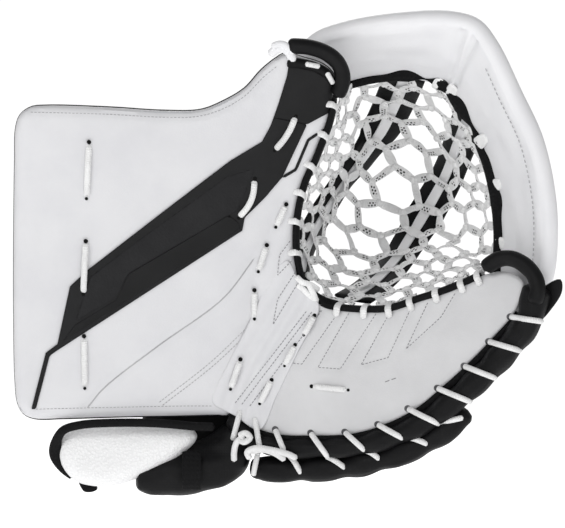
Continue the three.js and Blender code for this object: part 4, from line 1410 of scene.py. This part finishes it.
def spine(name, line):
    flat = curve(line, 2.5)
    places = [(math.atan2(z - POCKET_CENTRE[1], x - POCKET_CENTRE[0]), x, z) for x, z in flat]
    path, ups = [], []
    for angle, x, z in places:
        radius = float(np.interp(angle, LOOP_ANGLE, LOOP_RADIUS, period=2 * math.pi))
        share = min(1.0, math.hypot(x - POCKET_CENTRE[0], z - POCKET_CENTRE[1]) / radius)
        path.append(bowl(angle, share))
        ups.append(bowl_normal(angle, max(0.05, min(share, 0.97))))
    path, ups = np.array(path), np.array(ups)
    for _ in range(4):
        ups = unit(np.vstack([ups[:1], (ups[:-2] + 2 * ups[1:-1] + ups[2:]) / 4, ups[-1:]]))
        path[1:-1] = (path[:-2] + 2 * path[1:-1] + path[2:]) / 4
    strap = sweep(path + ups * 5.4, oval(SPINE_WIDTH / 2, 1.7, 20, 0.55), up=-ups, tip=2)
    stripe = sweep(path + ups * 3.2, oval(SPINE_STRIPE / 2, 1.0, 14, 0.6), up=-ups, tip=1.5)
    hand_over(name + "_strap_leather", [strap], BLACK, "blend", [name + "_strap"])
    hand_over(name + "_stripe_leather", [stripe], SPINE_LIT_WHITE, "blend", [name + "_stripe"])


def spines():
    spine(
        "upper_spine",
        [(84, 126), (80, 114), (73, 97), (63, 79), (50, 61), (37, 42), (26, 24), (19, 8), (16, -4)],
    )
    spine(
        "lower_spine",
        [(124, 98), (118, 80), (112, 62), (104, 46), (98, 35), (89, 22), (77, 5), (62, -10), (46, -20)],
    )


# ---- Padded cloth pieces, swollen by a cloth simulation ----
def copy_of(node, name, material):
    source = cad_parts[node]
    mesh = source.data.copy()
    mesh.materials.clear()
    mesh.materials.append(material)
    obj = bpy.data.objects.new(name, mesh)
    bpy.context.scene.collection.objects.link(obj)
    return obj


def settle(obj):
    """Applies the object's modifiers to its mesh."""
    bpy.context.view_layer.update()
    evaluated = obj.evaluated_get(bpy.context.evaluated_depsgraph_get())
    mesh = bpy.data.meshes.new_from_object(evaluated)
    obj.modifiers.clear()
    obj.data = mesh
    return obj


def soften(obj, voxel_mm, rounds):
    """Remeshes a shape evenly and rounds off its corners."""
    remesh = obj.modifiers.new("remesh", "REMESH")
    remesh.mode = "VOXEL"
    remesh.voxel_size = voxel_mm * MM
    smooth = obj.modifiers.new("smooth", "SMOOTH")
    smooth.factor = 0.5
    smooth.iterations = rounds
    settle(obj)
    obj.data.polygons.foreach_set("use_smooth", [True] * len(obj.data.polygons))
    return obj


def coordinates(mesh):
    flat = np.empty(len(mesh.vertices) * 3)
    mesh.vertices.foreach_get("co", flat)
    return flat.reshape(-1, 3)


def inflate(obj, cap_mm, pressure=4.0, frames=20):
    """Swells a closed mesh as stuffed cloth, with no point moving further than cap_mm."""
    rest = coordinates(obj.data)
    cloth = obj.modifiers.new("cloth", "CLOTH")
    cloth.settings.use_pressure = True
    cloth.settings.uniform_pressure_force = pressure
    cloth.settings.effector_weights.gravity = 0
    cloth.settings.quality = 5
    cloth.point_cache.frame_start = 1
    cloth.point_cache.frame_end = frames
    scene = bpy.context.scene
    for number in range(1, frames + 1):
        scene.frame_set(number)
    moved = obj.evaluated_get(bpy.context.evaluated_depsgraph_get()).data
    change = coordinates(moved) - rest
    size = np.linalg.norm(change, axis=1, keepdims=True)
    change *= np.minimum(1, cap_mm * MM / np.maximum(size, 1e-9))
    obj.modifiers.clear()
    scene.frame_set(1)
    obj.data.vertices.foreach_set("co", (rest + change).ravel())
    obj.data.update()
    return obj


def dimpled(obj, size_mm, depth_mm, seed=0.0):
    """Small dents and creases in soft cloth."""
    mesh = obj.data
    points = coordinates(mesh)
    normals = np.array([tuple(v.normal) for v in mesh.vertices])
    lift = np.array([noise.noise(Vector(p / (size_mm * MM)) + Vector((seed, 0, 0))) for p in points])
    mesh.vertices.foreach_set("co", (points + normals * (lift * depth_mm * MM)[:, None]).ravel())
    mesh.update()


def puffed(obj, body, nodes, voxel, rounds, cap, dent=(22, 1.2), divide=1):
    """Turns a closed shape into a stuffed one and hands it over."""
    soften(obj, voxel, rounds)
    inflate(obj, cap)
    if divide:
        finer = obj.modifiers.new("finer", "SUBSURF")
        finer.levels = divide
        settle(obj)
    dimpled(obj, *dent)
    obj.data.polygons.foreach_set("use_smooth", [True] * len(obj.data.polygons))
    finish_piece(obj, body, nodes)


def joined(obj, other):
    """Adds another object's mesh to this one, and removes the other."""
    editing = bmesh.new()
    editing.from_mesh(obj.data)
    editing.from_mesh(other.data)
    editing.to_mesh(obj.data)
    editing.free()
    bpy.data.objects.remove(other)
    return obj


WRIST_PAD = [
    (-154, -120), (-148, -112), (-125, -108.5), (-108, -109), (-85, -110.5), (-62, -113), (-58, -119),
    (-70, -131), (-84, -139), (-98, -146), (-112, -150.5), (-128, -153), (-144, -148), (-153, -136),
]
WRAP_LOBE = [
    (-101.5, -150), (-99, -143), (-84, -134), (-67, -126), (-48, -119), (-40, -111), (-28, -109),
    (-22, -118), (-22, -136), (-32, -148), (-48, -154), (-62, -157.5), (-78, -160), (-90, -161),
    (-99, -157),
]


def flat_at(depth):
    return lambda x, z: np.full(np.shape(x), float(depth))


def wrist_pad():
    pad = panel("wrist_pad_mesh", WRIST_PAD, flat_at(25), 0, 45, MESH_KNIT, edge=11, step=3)
    puffed(pad, "thumb_side", ["wrist_pad"], 4, 5, 5, (30, 1.6))


def wrist_wrap():
    """The wrap's CAD shape with its lower edge lifted, and the lobe that shows in front."""
    wrap = copy_of("wrist_wrap_pad", "wrist_wrap_padding", NYLON)
    for vertex in wrap.data.vertices:
        x, _, z = vertex.co / MM + Vector(HAND)
        low = min(1, max(0, (-125 - z) / 20))
        vertex.co.z += 15 * MM * low * (max(0, x + 92) / 68) ** 1.4
    lobe = panel("wrap_lobe", WRAP_LOBE, flat_at(33), 0, 24, NYLON, edge=8, step=3)
    puffed(
        joined(wrap, lobe), "thumb_side", ["wrist_wrap_pad"], 4.5, 5, 5, (24, 2.6)
    )


def wrist_trim():
    """The pad's binding, the size tag and the wrap's loop."""
    line = [
        (-143, 40, -146), (-150, 38, -140), (-154.5, 34, -131), (-154.5, 28, -122), (-149, 20, -113),
        (-138, 17, -109.5), (-120, 16, -108), (-92, 18, -108), (-76, 20, -109), (-60, 21, -110.5),
        (-46, 22, -111),
    ]
    path = curve(line, 1.6)
    wide = 2.9 + 2.0 * np.exp(-(((path[:, 2] + 130) / 9) ** 2))
    section = scaled(oval(1, 1, 14), wide, 0 * wide + 2.4)
    hand_over(
        "wrist_pad_binding_tape", [sweep(path, section, tip=2)], WEB,
        "thumb_side", ["wrist_pad_binding"],
    )
    tag = panel(
        "size_tag_fold", [(-141, -143), (-131, -146), (-127, -154.5), (-136, -156)],
        lambda x, z: 40 + 0.12 * (z + 150), 0, 1.4, LINER, edge=0.4, step=1.2,
    )
    finish_piece(tag, "thumb_side", ["size_tag"])
    loop = [(-62, 29, -127), (-62, 26, -134), (-62, 24.5, -142), (-62, 26, -149), (-62, 31, -154.5)]
    patch = strand(
        "wrist_wrap_loop_web",
        [sweep(curve(loop, 1.5), oval(6.5, 1.2, 14, 0.5), up=(0, -1, -0.3), tip=1)], WEB,
    )
    finish_piece(patch, "thumb_side", ["wrist_wrap_loop"])


STRAPS = {
    "wrist_strap": (
        [
            (-80, 38, 30), (-80, 60, 38), (-80, 84, 34), (-80, 102, 16), (-80, 112, -10),
            (-80, 113, -45), (-80, 113, -80),
        ], 19,
    ),
    "hand_strap": ([(5, 96, -95), (6, 101, -80), (8, 101, -60), (9, 101, -48), (9, 97, -38)], 15),
}  # each one's line and half its width


def straps():
    for name, (line, half) in STRAPS.items():
        web = sweep(curve(line, 2.5), oval(1.3, half, 20, 0.45), up=(1, 0, 0), tip=1.5)
        hand_over(name + "_web", [web], WEB, name + "_body", [name])


def stalls():
    """What the hand goes into, behind the boards."""
    for node, name, body in (
        ("thumb_stall", "thumb_stall_sleeve", "thumb_side"),
        ("finger_stall_wall", "finger_stall_side", "finger_side"),
    ):
        puffed(copy_of(node, name, LINER), body, [node], 2.6, 4, 1.5, (18, 1.0), 0)
    pad = copy_of("back_hand_pad", "back_hand_padding", LINER)
    puffed(pad, "finger_side", ["back_hand_pad"], 4, 4, 1.5)


def hand_cover():
    """The quilted cover on the back of the hand."""
    outline = [
        (-19, -48), (-19, -99), (-10, -103), (15, -107), (48, -104), (79, -93), (101, -78), (121, -59),
        (133, -40), (125, -26), (106, -27), (90, -32), (72, -39), (45, -40), (10, -34),
    ]
    channels = [
        [(14, -36), (10, -106)], [(48, -40), (44, -105)], [(80, -36), (74, -95)], [(108, -28), (100, -79)]
    ]

    def quilted(x, z, d):
        swell = 5.0 * (1 - np.exp(-d / 9))
        for line in channels:
            swell = swell - groove(x, z, line, 3.5, 3.2)
        return swell + 0.5 * ripple(x, z, 16, 8.0)

    cover = panel(
        "back_hand_cover_leather", outline, palm_y, HAND_COVER_FRONT, HAND_COVER_BACK, BLACK,
        edge=0.5, step=2.6, rear=quilted,
    )
    finish_piece(cover, "finger_side", ["back_hand_cover"])


def inner_layers():
    """The layers inside the boards stay as the CAD made them, in their own materials."""
    for node, material in (
        ("cuff_foam_core", FOAM), ("palm_foam", FOAM), ("cuff_stiffener_plate", PLASTIC)
    ):
        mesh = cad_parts[node].data
        if not mesh.materials:
            mesh.materials.append(material)
        for k in range(len(mesh.materials)):
            mesh.materials[k] = material


# ---- Stage ----
def camera():
    """A long lens in front of the catching side. width is what it sees across, in metres."""
    lens, sensor, width = 236.0, 36.0, 0.3814
    low, high = CAD_BOX
    aim = (low + high) / 2 + Vector((-0.0015, 0, -0.0042))
    data = bpy.data.cameras.new("camera")
    data.lens, data.sensor_width = lens, sensor
    data.clip_start, data.clip_end = 0.05, 50
    eye = bpy.data.objects.new("camera", data)
    eye.location = (aim.x, row((0, 0, 0))[1] - width * lens / sensor, aim.z)
    eye.rotation_euler = (math.pi / 2, 0, 0)
    bpy.context.scene.collection.objects.link(eye)
    bpy.context.scene.camera = eye


def area_light(name, place, target, size, power):
    data = bpy.data.lights.new(name, "AREA")
    data.shape = "DISK"
    data.size, data.energy = size, power
    lamp = bpy.data.objects.new(name, data)
    lamp.location = place
    lamp.rotation_euler = (Vector(target) - Vector(place)).to_track_quat("-Z", "Y").to_euler()
    bpy.context.scene.collection.objects.link(lamp)


FLOOR_HALF = 12.0
FLOOR_DROP = 0.035  # below the glove
WORLD_LIGHT = 0.36
WORLD_SEEN = 1.05  # how bright the background itself looks
LIGHTS = [
    ("key", (-0.8, -1.6, 0.9), 0.7, 8.5), ("fill", (0.45, -1.9, 0.1), 0.9, 6),
    ("rear", (0.3, 1.5, 1.2), 1.2, 8),
]  # name, place, size and power


def stage():
    low, high = CAD_BOX
    paint = Paint("pale_floor", (0.9, 0.9, 0.9), 0.9)
    paint.shader.inputs["Emission Color"].default_value = (1, 1, 1, 1)
    paint.shader.inputs["Emission Strength"].default_value = 0.75
    corners = [
        (x * FLOOR_HALF, y * FLOOR_HALF, low.z - FLOOR_DROP) for x, y in ((-1, -1), (1, -1), (1, 1), (-1, 1))
    ]
    mesh = bpy.data.meshes.new("floor")
    mesh.from_pydata(corners, [], [(0, 1, 2, 3)])
    mesh.materials.append(paint.material)
    floor = bpy.data.objects.new("floor", mesh)
    bpy.context.scene.collection.objects.link(floor)
    world = bpy.data.worlds.new("studio")
    world.use_nodes = True
    nodes, links = world.node_tree.nodes, world.node_tree.links
    background = nodes["Background"]
    background.inputs["Color"].default_value = (1, 1, 1, 1)
    ray = nodes.new("ShaderNodeLightPath")
    strength = nodes.new("ShaderNodeMapRange")
    strength.inputs["To Min"].default_value = WORLD_LIGHT
    strength.inputs["To Max"].default_value = WORLD_SEEN
    links.new(ray.outputs["Is Camera Ray"], strength.inputs["Value"])
    links.new(strength.outputs["Result"], background.inputs["Strength"])
    bpy.context.scene.world = world
    middle = tuple((low + high) / 2)
    for name, place, size, power in LIGHTS:
        area_light(name, place, middle, size, power)
    bpy.context.scene.view_settings.view_transform = "Standard"


camera()
cuff_board()
dark_panels()
thumb_tip()
through_laces()
pocket_edges()
palm()
break_leather()
rolls()
perimeter_lace()
palm_trim()
finger_tip()
rim()
net()
spines()
wrist_pad()
wrist_wrap()
wrist_trim()
straps()
stalls()
hand_cover()
inner_layers()
stage()
